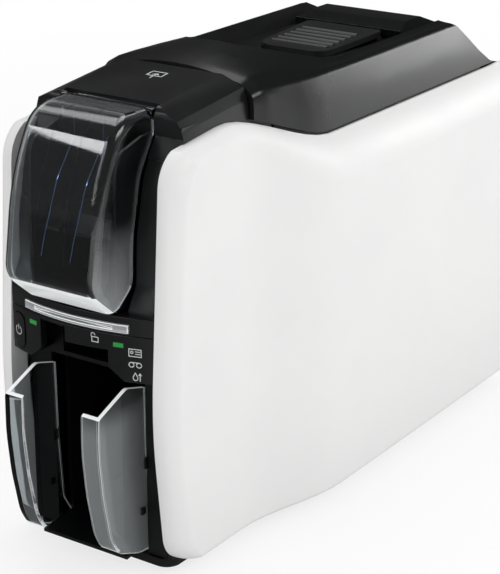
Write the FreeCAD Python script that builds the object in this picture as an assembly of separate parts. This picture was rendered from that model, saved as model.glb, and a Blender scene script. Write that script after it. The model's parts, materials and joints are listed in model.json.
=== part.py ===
import FreeCAD, Part

import math
import os

V = FreeCAD.Vector

# Desktop card printer. Millimetres. X is to the right seen from the front, the front faces -Y, +Z is up.
# The origin is on the table, under the middle of the printer's bounding box.

# Overall sizes
width = 157.5                 # across the rear of the side panels
depth = 397.5                 # from the front of the output wings to the rear edge of the panels
height = 279.5                # to the crown of the top cover
nose_width = 125.2            # across the panels in front of their flare
nose_setback = 24.6           # panels' front edge behind the front of the output wings

# Fits, gaps and walls
fit = 0.3                     # gap between neighbouring pieces
seam = 1.8                    # dark parting line between the top cover and the panels
running = 0.06                # radial clearance of a shaft in its hole
wall = 2.6                    # moulded wall
plate = 2.0                   # sheet metal and thin ribs
overrun = 8.0                 # how far a cutting tool reaches past the piece it cuts

rear_y = depth / 2
wing_front_y = -depth / 2
nose_y = wing_front_y + nose_setback

# Places along the depth, as shares of it behind the front of the wings
place_shares = {
    "exit_axis": 0.193, "wave_start": 0.223, "flare_start": 0.236, "pick_axis": 0.236, "weight_back": 0.248,
    "tray_back": 0.258, "lid_front": 0.294, "cleaning_axis": 0.304, "liner_front": 0.339, "lid_bevel": 0.349,
    "lid_ridge": 0.394, "board_front": 0.399, "takeup_axis": 0.409, "flare_end": 0.445, "wave_end": 0.455,
    "platen_axis": 0.525, "trough_full": 0.538, "pad_front": 0.591, "supply_axis": 0.641, "rear_axis": 0.656,
    "pad_back": 0.757, "deck_step": 0.797, "transport_back": 0.797, "lid_tail": 0.837, "deck_back": 0.867}


def along(place):
    """Y of a named place."""
    return wing_front_y + place_shares[place] * depth


# Base and feet
foot_height = 3.0
foot_radius = 8.0
base_thickness = 5.0
skirt_z = foot_height + base_thickness

# Flare of the body behind the nose: where it starts and ends along Y
flare_start_y = along("flare_start")
flare_end_y = along("flare_end")
nose_half = nose_width / 2
rear_half = width / 2
core_nose_inset = 12.6            # inner frame inside the side panels' faces
core_rear_inset = 14.75
lid_nose_inset = 8.1              # top cover's seam inside the side panels' faces
lid_rear_inset = 13.25
core_nose_half = nose_half - core_nose_inset
core_rear_half = rear_half - core_rear_inset
lid_nose_half = nose_half - lid_nose_inset
lid_rear_half = rear_half - lid_rear_inset

# Wave of the panels' top edge and of the crease below it, as drops from the crown
top_nose_drop = 27.2
top_rear_drop = 50.5
crease_nose_drop = 41.5
crease_rear_drop = 77.5
nose_rise = 0.10                  # slope of the nose's top edge, rise per run
top_nose_z = height - top_nose_drop
top_rear_z = height - top_rear_drop
crease_nose_z = height - crease_nose_drop
crease_rear_z = height - crease_rear_drop
top_wave_start_y = along("wave_start")
top_wave_end_y = along("wave_end")

# Card and card path
card_width = 54.0
card_length = 85.6
path_drop = 115.5
path_z = height - path_drop       # height of the printing path
roller_radius = 8.0
roller_axis_z = path_z - roller_radius
exit_path_drop = 30.0             # how far the path to the output hopper lies lower
exit_path_z = path_z - exit_path_drop
exit_axis_z = exit_path_z - roller_radius

# Hinge of the top cover and of the input door
lid_axis_inset = 18.75            # in front of the rear edge
lid_axis_rise = 5.0               # above the panels' top edge
lid_axis_y = rear_y - lid_axis_inset
lid_axis_z = top_rear_z + lid_axis_rise
lid_front_y = along("lid_front")
door_reach = 57.25                # from the wings' front to the door's hinge
door_axis_y = wing_front_y + door_reach
door_axis_drop = 16.9
door_axis_z = height - door_axis_drop
door_half = 31.7
cover_front_drop = 13.0           # top of the front cover at the door's hinge, below the crown
cover_front_z = height - cover_front_drop


def smooth(t):
    t = max(0.0, min(1.0, t))
    return t * t * (3 - 2 * t)


def blend(nose_value, rear_value, y, start_y=flare_start_y, end_y=flare_end_y):
    """A size that changes from its nose value to its rear value along the flare."""
    return nose_value + (rear_value - nose_value) * smooth((y - start_y) / (end_y - start_y))


def core_half(y):
    return blend(core_nose_half, core_rear_half, y)


def lid_half(y):
    return blend(lid_nose_half, lid_rear_half, y)


def panel_half(y):
    return blend(nose_half, rear_half, y)


def panel_top(y):
    """Height of the panels' top edge: it climbs along the nose, crests and dips to the level rear."""
    nose = top_nose_z + nose_rise * min(y - top_wave_start_y, 0)
    return blend(nose, top_rear_z, y, top_wave_start_y, top_wave_end_y)


def box(x0, x1, y0, y1, z0, z1):
    return Part.makeBox(x1 - x0, y1 - y0, z1 - z0, V(x0, y0, z0))


def rod(x0, x1, y, z, radius):
    """Round bar along X."""
    return Part.makeCylinder(radius, x1 - x0, V(x0, y, z), V(1, 0, 0))


def post(x, y, z0, z1, radius):
    """Round bar along Z."""
    return Part.makeCylinder(radius, z1 - z0, V(x, y, z0), V(0, 0, 1))


def pin_y(x, z, y0, y1, radius):
    """Round bar along Y."""
    return Part.makeCylinder(radius, y1 - y0, V(x, y0, z), V(0, 1, 0))


def mirrored(shape):
    return shape.mirror(V(0, 0, 0), V(1, 0, 0))


def fused(shapes):
    return shapes[0].multiFuse(list(shapes[1:])).removeSplitter()


def place_side(x):
    return lambda y, z: V(x, y, z)


def place_plan(z):
    return lambda x, y: V(x, y, z)


def place_front(y):
    return lambda x, z: V(x, y, z)


def outline(points, place):
    """Closed wire through (u, v) or (u, v, radius) corners; a radius rounds its corner by an arc."""
    count = len(points)
    starts = []
    for i in range(count):
        u, v = points[i][0], points[i][1]
        radius = points[i][2] if len(points[i]) > 2 else 0
        pu, pv = points[i - 1][0] - u, points[i - 1][1] - v
        nu, nv = points[(i + 1) % count][0] - u, points[(i + 1) % count][1] - v
        pl, nl = math.hypot(pu, pv), math.hypot(nu, nv)
        pu, pv, nu, nv = pu / pl, pv / pl, nu / nl, nv / nl
        if radius == 0:
            starts.append((place(u, v), None, place(u, v)))
            continue
        half = math.acos(max(-1.0, min(1.0, pu * nu + pv * nv))) / 2
        run = radius / math.tan(half)
        reach = radius / math.sin(half)
        bu, bv = pu + nu, pv + nv
        bl = math.hypot(bu, bv)
        deep = reach - radius
        starts.append((place(u + pu * run, v + pv * run),
                       place(u + bu / bl * deep, v + bv / bl * deep),
                       place(u + nu * run, v + nv * run)))
    edges = []
    for i in range(count):
        begin, middle, end = starts[i]
        if middle is not None:
            edges.append(Part.Arc(begin, middle, end).toShape())
        following = starts[(i + 1) % count][0]
        edges.append(Part.LineSegment(end, following).toShape())
    return Part.Wire(edges)


def slab_x(points, x0, x1):
    """Outline in the YZ plane, extruded from x0 to x1."""
    return Part.Face(outline(points, place_side(x0))).extrude(V(x1 - x0, 0, 0))


def slab_y(points, y0, y1):
    """Outline in the XZ plane, extruded from y0 to y1."""
    return Part.Face(outline(points, place_front(y0))).extrude(V(0, y1 - y0, 0))


def slab_z(points, z0, z1):
    """Outline in the XY plane, extruded from z0 to z1."""
    return Part.Face(outline(points, place_plan(z0))).extrude(V(0, 0, z1 - z0))


def spline_edge(points):
    curve = Part.BSplineCurve()
    curve.interpolate(points)
    return curve.toShape()


def above_wave(offset, x0, x1):
    """Everything above the wave of the panels' top edge, raised by offset, between x0 and x1."""
    start_y, end_y = nose_y - overrun, rear_y + overrun
    steps = 14
    run = top_wave_end_y - top_wave_start_y
    ys = [top_wave_start_y + run * i / steps for i in range(steps + 1)]
    curve = spline_edge([V(x0, y, panel_top(y) + offset) for y in ys])
    first, last = V(x0, ys[0], panel_top(ys[0]) + offset), V(x0, ys[-1], panel_top(ys[-1]) + offset)
    roof = height + overrun
    corners = [last, V(x0, end_y, last.z), V(x0, end_y, roof), V(x0, start_y, roof),
               V(x0, start_y, panel_top(start_y) + offset), first]
    edges = [curve] + [Part.LineSegment(corners[i], corners[i + 1]).toShape() for i in range(5)]
    return Part.Face(Part.Wire(edges)).extrude(V(x1 - x0, 0, 0))


# Side panels

panel_front_corner_drop = 31.5    # where the nose's front line would meet its top line, below the crown
panel_front_lean = 10.0           # how far the front line leans back at the top
panel_belly_share = 0.344         # height of the most forward point, as a share of the whole height
panel_toe_setback = 9.5           # how far the front line draws back again at the bottom
panel_brow_radius = 22.0
panel_belly_radius = 300.0
panel_toe_radius = 20.0
panel_bevel = 10.6                # rounding from the front edge into the side face
panel_lip_half = 52.0             # half width at which that rounding starts
panel_skirt_radius = 3.0
panel_bulge = 2.6                 # convexity of the shoulder above the crease
panel_rear_radius = 9.0
panel_front_corner_z = height - panel_front_corner_drop
panel_front_belly_z = height * panel_belly_share


def panel_section(y, inset):
    """Section of a side panel across Y; the inset draws the skin inwards for the hollow."""
    x_in = core_half(y) + fit - (overrun if inset else 0)
    x_out = panel_half(y) - inset
    x_top = lid_half(y) + fit - inset / 2
    z_low = skirt_z + inset
    z_crease = blend(crease_nose_z, crease_rear_z, y) - inset / 2
    z_top = panel_top(y) - inset
    mid_x, mid_z = (x_out + x_top) / 2, (z_crease + z_top) / 2
    slope = math.hypot(x_out - x_top, z_top - z_crease)
    out_x, out_z = (z_top - z_crease) / slope, (x_out - x_top) / slope
    r = panel_skirt_radius
    bend = r * (1 - math.sqrt(0.5))
    low_a, low_m, low_b = V(x_out - r, y, z_low), V(x_out - bend, y, z_low + bend), V(x_out, y, z_low + r)
    crease, crest = V(x_out, y, z_crease), V(x_top, y, z_top)
    belly = V(mid_x + out_x * panel_bulge, y, mid_z + out_z * panel_bulge)
    if inset:
        return Part.makePolygon([V(x_in, y, z_low), V(x_out, y, z_low), crease, crest, V(x_in, y, z_top),
                                 V(x_in, y, z_low)])
    edges = [Part.LineSegment(V(x_in, y, z_low), low_a).toShape(),
             Part.Arc(low_a, low_m, low_b).toShape(),
             Part.LineSegment(low_b, crease).toShape(),
             Part.Arc(crease, belly, crest).toShape(),
             Part.LineSegment(crest, V(x_in, y, z_top)).toShape(),
             Part.LineSegment(V(x_in, y, z_top), V(x_in, y, z_low)).toShape()]
    return Part.Wire(edges)


def panel_side_outline(inset, x, skin=0):
    """Side view of a panel: upright nose, rounded brow and toe, rounded rear toe; a skin is left round a hollow."""
    lean_run = panel_front_corner_z - panel_front_belly_z
    lean = panel_front_lean / lean_run
    draw = panel_toe_setback / (panel_front_belly_z - skirt_z)
    brow_y = nose_y + panel_front_lean + inset * (1 + lean)
    belly_y = nose_y - fit + inset
    toe_y = nose_y + panel_toe_setback + inset * (1 + draw)
    far_y, low_z = rear_y - skin, skirt_z + skin
    brow_slope_z = nose_rise * (far_y - brow_y)
    return outline([(toe_y, low_z, panel_toe_radius),
                    (belly_y, panel_front_belly_z, panel_belly_radius),
                    (brow_y, panel_front_corner_z + fit - inset / 2, panel_brow_radius),
                    (far_y, panel_front_corner_z + brow_slope_z),
                    (far_y, low_z, panel_rear_radius)], place_side(x))


def side_panel():
    """Right-hand panel: a flared outer skin, closed at the front, top, bottom and rear, open inside."""
    steps = 8
    step = (flare_end_y - flare_start_y) / steps
    flare = [flare_start_y + step * (i - 1) for i in range(steps + 3)]
    nose = Part.makeLoft([panel_section(nose_y - overrun, 0), panel_section(flare[0], 0)], True, True)
    waist = Part.makeLoft([panel_section(y, 0) for y in flare], True, True)
    rear = Part.makeLoft([panel_section(flare[-1], 0), panel_section(rear_y + overrun, 0)], True, True)
    hollow_ys = [nose_y + panel_bevel + wall] + flare[1:-1:2] + [flare[-1], rear_y - wall]
    hollow = Part.makeLoft([panel_section(y, wall) for y in hollow_ys], True, True)
    bounds = Part.Face(panel_side_outline(panel_bevel + wall, 0, wall)).extrude(V(rear_half, 0, 0))
    rounding = []
    for turn in (0, 22.5, 45, 67.5, 90):
        angle = math.radians(turn)
        inset = panel_bevel * (1 - math.cos(angle))
        rounding.append((panel_lip_half + panel_bevel * math.sin(angle), inset))
    first_x = core_nose_half - overrun
    flat = Part.Face(panel_side_outline(0, first_x)).extrude(V(panel_lip_half - first_x, 0, 0))
    round_part = Part.makeLoft([panel_side_outline(inset, x) for x, inset in rounding], True, True)
    last_x, last_inset = rounding[-1]
    rest = Part.Face(panel_side_outline(last_inset, last_x)).extrude(V(rear_half, 0, 0))
    return nose.multiFuse([waist, rear]).common(flat.multiFuse([round_part, rest])).cut(hollow.common(bounds))


def spread(shares, u0, u1, v0, v1):
    """Points given as shares of the box from (u0, v0) to (u1, v1); a third share is a corner radius."""
    points = []
    for share in shares:
        point = [u0 + share[0] * (u1 - u0), v0 + share[1] * (v1 - v0)]
        if len(share) > 2:
            point.append(share[2] * abs(v1 - v0))
        points.append(tuple(point))
    return points


def drawn_in(points, inset, count):
    """Closed outline whose first count edges move to their left; the rounded corners between them follow."""
    lines = []
    for i, point in enumerate(points):
        u, v = point[0], point[1]
        du = points[(i + 1) % len(points)][0] - u
        dv = points[(i + 1) % len(points)][1] - v
        shift = (inset if i < count else 0) / math.hypot(du, dv)
        lines.append((u - dv * shift, v + du * shift, du, dv))
    moved = []
    for i, point in enumerate(points):
        u0, v0, du, dv = lines[i - 1]
        u1, v1, eu, ev = lines[i]
        along = ((u1 - u0) * ev - (v1 - v0) * eu) / (du * ev - dv * eu)
        corner = [u0 + du * along, v0 + dv * along]
        if len(point) > 2:
            corner.append(point[2] - inset if 0 < i < count else point[2])
        moved.append(tuple(corner))
    return moved


def core_plan(inset, front_y, back_y):
    """Plan outline of the inner frame between front_y and back_y, drawn in at the sides."""
    steps = 8
    run = flare_end_y - flare_start_y
    ys = [front_y] + [flare_start_y + run * i / steps for i in range(steps + 1)] + [back_y]
    ys = [y for y in ys if front_y <= y <= back_y]
    right = [(core_half(y) - inset, y) for y in ys]
    left = [(-x, y) for x, y in reversed(right)]
    return right + left


# Inner frame

frame_plate = 3.0                 # thickness of the side frames and of the front frame
frame_setback = 16.0              # front face of the front frame behind the panels' front edge
frame_back_inset = 8.0
base_setback = 1.5                # base in front of the front frame
base_corner = 9.0
frame_front_y = nose_y + frame_setback
frame_back_y = rear_y - frame_back_inset
base_front_y = frame_front_y - base_setback
cover_rear_y = lid_front_y - 2 * fit      # where the front cover meets the top cover's rim
frame_nose_drop = 14.0            # how far the side frames stay below the panels' top edge at the nose
frame_tail_drop = 6.0             # how far they drop at the top cover's hinge
frame_tail_reach = 12.0           # how far in front of that hinge the drop starts
frame_tail_y = lid_axis_y - frame_tail_reach
frame_step_rise = 36.0            # top of the front frame above the path; the bezel's strips pass over it
frame_step_z = path_z + frame_step_rise
frame_step_inset = 1.2            # how far back the side frames stay at that height
frame_step_y = door_axis_y - frame_step_inset


def frame_side():
    """Right-hand side frame: an upright plate that follows the flare; its rim carries the top cover."""
    top = height
    steps = 8
    run = flare_end_y - flare_start_y
    ys = [frame_front_y] + [flare_start_y + run * i / steps for i in range(steps + 1)] + [frame_back_y]
    outer = [(core_half(y), y) for y in ys]
    inner = [(core_half(y) - frame_plate, y) for y in reversed(ys)]
    plate_solid = slab_z(outer + inner, skirt_z + fit, top)
    low_z = panel_top(frame_front_y) - frame_nose_drop
    nose_cut = box(0, rear_half, nose_y, cover_tongue_back_y + fit, low_z, height + overrun)
    tail_z = top_rear_z - frame_tail_drop
    tail_cut = box(0, rear_half, frame_tail_y, rear_y, tail_z, height + overrun)
    step_cut = box(0, rear_half, nose_y, frame_step_y, frame_step_z, height + overrun)
    return plate_solid.cut(above_wave(seam - fit, 0, rear_half)).cut(nose_cut).cut(tail_cut).cut(step_cut)


bay_half = 31.0                   # half width of the card bays in the front
bay_toe = 12.0                    # height over the table of the lips' notch in the wings
bay_drop = 47.0                   # roof of the output bay below the printing path
bay_high_z = path_z - bay_drop
feed_drop = 5.5                   # input bay's lower edge below the path
feed_low_z = path_z - feed_drop
exit_half = 24.0                  # card exit in the lower bezel


def front_frame():
    """Upright plate behind the bezels, with the output bay, the card exit and the input bay cut out."""
    half = core_nose_half - frame_plate - fit
    top = frame_step_z
    y0, y1 = frame_front_y, frame_front_y + frame_plate
    sheet = box(-half, half, y0, y1, skirt_z + fit, top)
    wing_half = wing_inner_half + wing_thick + fit
    cuts = [(wing_half, skirt_z, bay_high_z), (exit_half, bay_high_z + wall, exit_path_z + overrun),
            (strip_inner_half, feed_low_z, top + overrun)]
    for half_x, z0, z1 in cuts:
        sheet = sheet.cut(box(-half_x, half_x, y0 - overrun, y1 + overrun, z0, z1))
    return sheet


def base_tray():
    """Floor of the printer: a plate with a low rim inside the side frames."""
    low, high = foot_height, skirt_z
    plan = core_plan(0, base_front_y, frame_back_y)
    plan[0] += (base_corner,)
    plan[-1] += (base_corner,)
    floor = slab_z(plan, low, high)
    rim_high = high + wall
    inset = frame_plate + fit
    rim = slab_z(core_plan(inset, frame_front_y + frame_plate + fit, frame_back_y - fit), high - plate, rim_high)
    rim = rim.cut(slab_z(core_plan(inset + wall, frame_front_y + 2 * frame_plate, frame_back_y - wall - fit),
                         high - overrun, rim_high + overrun))
    slot_half = bay_half + wall
    rim = rim.cut(box(-slot_half, slot_half, base_front_y, frame_front_y + 2 * overrun, high, rim_high + overrun))
    return floor.fuse(rim).removeSplitter()


foot_inset = 28.0
foot_front_y = frame_front_y + foot_inset
foot_back_y = rear_y - foot_inset
foot_nose_inset = 24.6            # inside the side panels' faces
foot_rear_inset = 28.75
foot_front_x = nose_half - foot_nose_inset
foot_back_x = rear_half - foot_rear_inset
foot_sole = 6.5                   # radius of the foot's flat sole


def foot(x, y):
    """Rubber foot: a low cone."""
    return Part.makeCone(foot_sole, foot_radius, foot_height, V(x, y, 0))


# Top cover

lid_shoulder_nose_inset = 7.1     # shoulder inside the side panels' faces
lid_shoulder_rear_inset = 20.25
lid_arch_nose_inset = 9.5         # ends of the arch inside the shoulder
lid_arch_rear_inset = 5.5
lid_shoulder_nose_drop = 14.0     # drops from the crown
lid_shoulder_rear_drop = 15.9
lid_arch_nose_drop = 8.5
lid_arch_rear_drop = 15.3
lid_rim_crown_drop = 5.1
lid_bevel_crown_drop = 1.2
lid_rim_arch_drop = 2.6
lid_rim_side_inset = 2.4
lid_rim_depth = 9.0               # how far back the sides of the rim draw in
lid_round = 3.0                   # rounding of the shoulder
lid_arch_round = 2.0
lid_bulge = 0.6
trough_drop = 23.0                # floor of the trough below the crown
trough_nose_half = 12.0           # half width of the trough where it starts
trough_growth_share = 0.6         # below 1 its front end is round rather than pointed
trough_run = 6.0                  # width of its slopes
trough_lip = 0.8
trough_camber = 0.3
lid_step = 8.0                    # distance between the sections that shape it
lid_back_inset = 15.0
lid_shoulder_nose_half = nose_half - lid_shoulder_nose_inset
lid_shoulder_rear_half = rear_half - lid_shoulder_rear_inset
lid_arch_nose_half = lid_shoulder_nose_half - lid_arch_nose_inset
lid_arch_rear_half = lid_shoulder_rear_half - lid_arch_rear_inset
lid_shoulder_rear_z = height - lid_shoulder_rear_drop
lid_bevel_y = along("lid_bevel")
lid_ridge_y = along("lid_ridge")
trough_full_y = along("trough_full")
trough_floor_z = height - trough_drop
lid_back_y = rear_y - lid_back_inset


def crown_drop(y):
    """How far the middle of the front band lies below the crown: a bevel, then a gentler rise."""
    if y < lid_bevel_y:
        t = max(0, (y - lid_front_y) / (lid_bevel_y - lid_front_y))
        return lid_rim_crown_drop + (lid_bevel_crown_drop - lid_rim_crown_drop) * t
    return lid_bevel_crown_drop * max(0, (lid_ridge_y - y) / (lid_ridge_y - lid_bevel_y))


def lid_corners(y, inset):
    """Section of the top cover at y: base, shoulder, end of the arch, trough's rim, trough's floor, crown."""
    rim = 1 - smooth((y - lid_front_y) / lid_rim_depth)
    side = inset + lid_rim_side_inset * rim
    low = lid_rim_arch_drop * rim + inset
    growth = math.sin(math.pi / 2 * max(0, min(1, (y - lid_ridge_y) / (trough_full_y - lid_ridge_y))))
    base = (lid_half(y) - side, panel_top(y) + seam)
    shoulder = (blend(lid_shoulder_nose_half, lid_shoulder_rear_half, y) - side,
                height - blend(lid_shoulder_nose_drop, lid_shoulder_rear_drop, y) - low)
    end_x = blend(lid_arch_nose_half, lid_arch_rear_half, y, lid_bevel_y, trough_full_y) - side / 2
    end_z = height - blend(lid_arch_nose_drop, lid_arch_rear_drop, y, lid_bevel_y, trough_full_y) - low
    crown_z = height - crown_drop(y) - inset
    fall = (crown_z - end_z) / end_x ** 2
    spread_out = growth ** trough_growth_share
    rim_x = trough_nose_half + (end_x - trough_lip - lid_arch_round - trough_nose_half) * spread_out
    rim_x = rim_x + min(inset * growth, end_x - trough_lip - rim_x)
    floor_x = rim_x - trough_lip - trough_run * growth
    floor_z = (crown_z - fall * floor_x ** 2) * (1 - growth) + (trough_floor_z - inset) * growth
    middle_z = crown_z * (1 - growth) + (trough_floor_z + trough_camber - inset) * growth
    return base, shoulder, (end_x, end_z), (rim_x, crown_z - fall * rim_x ** 2), (floor_x, floor_z), middle_z, fall


def toward(a, b, length):
    """Point at a distance from a on the way to b."""
    share = length / math.hypot(b[0] - a[0], b[1] - a[1])
    return a[0] + (b[0] - a[0]) * share, a[1] + (b[1] - a[1]) * share


def lid_section(y, inset):
    """Outer section of the top cover: leaning sides, rounded shoulders, an arch and the trough between rails."""
    base, shoulder, end, rim, floor, middle_z, fall = lid_corners(y, inset)
    side_low = ((base[0] + shoulder[0]) / 2 + lid_bulge, (base[1] + shoulder[1]) / 2)
    before, after = toward(shoulder, base, lid_round), toward(shoulder, end, lid_round)
    crown_z = end[1] + fall * end[0] ** 2
    past_x = end[0] - lid_arch_round
    past = (past_x, crown_z - fall * past_x ** 2)
    arch = ((past[0] + rim[0]) / 2, crown_z - fall * past[0] * rim[0])
    runs = [(base, side_low, before), (before, shoulder, after), (after, toward(end, after, lid_arch_round)),
            (toward(end, after, lid_arch_round), end, past), (past, arch, rim), (rim, floor)]
    over = (0, 2 * middle_z - floor[1])
    edges = []
    for side in (1, -1):
        for run in runs[::side]:
            edges.append(bent_edge([V(x * side, y, z) for x, z in run[::side]]))
        if side > 0:
            edges.append(bent_edge([V(floor[0], y, floor[1]), V(over[0], y, over[1]), V(-floor[0], y, floor[1])]))
    edges.append(Part.LineSegment(V(-base[0], y, base[1]), V(base[0], y, base[1])).toShape())
    return Part.Wire(edges)


def bent_edge(poles):
    """Curved edge that starts and ends at the outer poles and bends towards the middle one."""
    curve = Part.BezierCurve()
    curve.setPoles(poles)
    return curve.toShape()


def lid_inner_section(y, inset):
    """Inner section of the top cover, open at the bottom."""
    base, shoulder, end, rim, floor, _, _ = lid_corners(y, inset)
    right = [(base[0], base[1] - overrun), base, shoulder, end, rim, floor]
    ring = right + [(-x, z) for x, z in reversed(right)]
    return Part.makePolygon([V(x, y, z) for x, z in ring + ring[:1]])


pad_half = 28.0
pad_front_half = 25.0
pad_corner = 12.0
pad_front_rise = 3.4              # top of the latch pad over the trough's floor, at its front
pad_back_rise = 5.6
pad_front_y = along("pad_front")
pad_back_y = along("pad_back")
pad_front_z = trough_floor_z + pad_front_rise
pad_back_z = trough_floor_z + pad_back_rise
pad_thick = 3.6
pad_gap = 0.8                     # gap round the pad in its pocket
pad_pin_radius = 1.5
pad_axis_inset = 4.0
pad_axis_y = pad_back_y - pad_axis_inset
pad_axis_z = trough_floor_z - wall
ridge_count = 6
ridge_pitch = 7.0
ridge_width = 2.4
ridge_rise = 1.1


def pad_plan(grow, z0, z1):
    near, far = pad_front_half + grow, pad_half + grow
    y0, y1 = pad_front_y - grow, pad_back_y + grow
    front, back = pad_corner + grow, pad_corner / 3 + grow
    corners = [(-near, y0, front), (near, y0, front), (far, y1, back), (-far, y1, back)]
    return slab_z(corners, z0, z1)


lid_tail_shares = [(0.0, 1.0), (0.18, 0.88, 0.25), (0.66, 0.30, 0.25), (0.90, 0.06, 0.1), (1.0, 0.0)]
lid_tail_start_y = along("lid_tail")
lid_boss = 4.5                    # hinge boss radius
lid_pin_radius = 2.0
lid_boss_width = 7.0
lid_boss_inset = 17.0             # hinge bosses inside the frame's sides
lid_boss_x = core_rear_half - lid_boss_inset


def lid_shell():
    """Top cover: a hood with a bevelled front band, a trough between two rails and a falling tail."""
    count = int((trough_full_y - lid_ridge_y) / lid_step)
    run = (trough_full_y - lid_ridge_y) / count
    ys = [lid_front_y, lid_front_y + lid_rim_depth / 2, lid_front_y + lid_rim_depth, lid_bevel_y]
    ys += [lid_ridge_y + run * i for i in range(count + 1)]
    ys += [trough_full_y + 2 * run, lid_back_y]
    front = Part.makeLoft([lid_section(y, 0) for y in ys[:4]], True, True)
    middle = Part.makeLoft([lid_section(y, 0) for y in ys[3:-2]], True, True)
    rest = Part.makeLoft([lid_section(y, 0) for y in ys[-3:]], True, True)
    shell = front.multiFuse([middle, rest])
    hollow_ys = [lid_front_y - fit] + ys[2:-1] + [lid_back_y - wall]
    hollow = Part.makeLoft([lid_inner_section(y, wall) for y in hollow_ys], True, True)
    half = rear_half
    base_z = top_rear_z + seam
    top_z = lid_shoulder_rear_z + lid_arch_round
    tail = spread(lid_tail_shares, lid_tail_start_y, lid_back_y, base_z, top_z)
    tail += [(lid_back_y + overrun, base_z), (lid_back_y + overrun, height), (lid_tail_start_y, height)]
    outer_tail = slab_x(tail, -half, half)
    inner_tail = slab_x([(y - wall, z - wall) for y, z, *r in tail], -half, half)
    shell = shell.cut(outer_tail).cut(hollow.cut(inner_tail))
    shell = shell.cut(pad_plan(pad_gap, trough_floor_z - overrun, height))
    for side in (-1, 1):
        x0 = side * lid_boss_x - lid_boss_width / 2
        x1 = side * lid_boss_x + lid_boss_width / 2
        arm = slab_x([(lid_axis_y - lid_boss, lid_axis_z - lid_boss), (lid_axis_y + fit, lid_axis_z - lid_boss),
                      (lid_axis_y + fit, lid_axis_z), (lid_axis_y - 4 * lid_boss, lid_axis_z + 3 * lid_boss),
                      (lid_axis_y - 4 * lid_boss, lid_axis_z)], x0, x1)
        arm = arm.cut(outer_tail)
        shell = shell.fuse(arm.fuse(rod(x0, x1, lid_axis_y, lid_axis_z, lid_boss - 2 * fit)))
        shell = shell.cut(rod(x0 - fit, x1 + fit, lid_axis_y, lid_axis_z, lid_pin_radius + running))
        ear_x0, ear_x1 = sorted((side * (lid_boss_x + lid_boss_width / 2), side * (lid_boss_x + lid_boss_width)))
        shell = shell.cut(rod(ear_x0, ear_x1, lid_axis_y, lid_axis_z, lid_boss + wall))
    pin_reach = pad_half + pad_gap + wall + fit
    shell = shell.cut(rod(-pin_reach, pin_reach, pad_axis_y, pad_axis_z, pad_pin_radius + running))
    return shell.removeSplitter()


deck_gap = 2.4                    # between the pad and the deck
deck_top_inset = 43.25            # its edges inside the side panels' rear faces
deck_front_low_inset = 38.75
deck_back_low_inset = 34.75
deck_top_half = rear_half - deck_top_inset
deck_front_low_half = rear_half - deck_front_low_inset
deck_back_low_half = rear_half - deck_back_low_inset
deck_front_y = pad_back_y + deck_gap
deck_step_y = along("deck_step")
deck_back_y = along("deck_back")
deck_rise = 9.5                   # its top over the trough's floor
deck_front_side_rise = 5.0        # where its sloping sides end
deck_back_side_rise = 3.5
deck_top_z = trough_floor_z + deck_rise


def deck_section(y, low_half, side_rise):
    low, side_z = trough_floor_z + 2 * fit, trough_floor_z + side_rise
    right = [(low_half, low), (low_half, side_z), (deck_top_half, deck_top_z)]
    ring = right + [(-x, z) for x, z in reversed(right)]
    return Part.makePolygon([V(x, y, z) for x, z in ring + ring[:1]])


def lid_deck():
    """Glossy deck behind the latch pad: a low plinth with sloping sides that spread towards the rear."""
    block = Part.makeLoft([deck_section(deck_front_y, deck_front_low_half, deck_front_side_rise),
                           deck_section(deck_back_y, deck_back_low_half, deck_back_side_rise)], True, True)
    slope_z = pad_back_z + fit
    nose = slab_x([(deck_front_y - fit, slope_z), (deck_step_y, deck_top_z), (deck_step_y, height),
                   (deck_front_y - fit, height)], -deck_back_low_half, deck_back_low_half)
    fall_y = lid_tail_start_y + deck_gap
    slope = (deck_rise - deck_back_side_rise) / (deck_back_y - lid_tail_start_y)
    tail = slab_x([(fall_y, deck_top_z), (deck_back_y + fit, deck_top_z - slope * (deck_back_y - fall_y)),
                   (deck_back_y + fit, height), (fall_y, height)], -deck_back_low_half, deck_back_low_half)
    return block.cut(nose).cut(tail)


hook_x = 20.0
hook_width = 4.0
hook_depth = 3.0
hook_inset = 11.0
hook_y = pad_front_y + hook_inset
hook_drop = 15.0                  # how far the hooks hang below the pad


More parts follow.
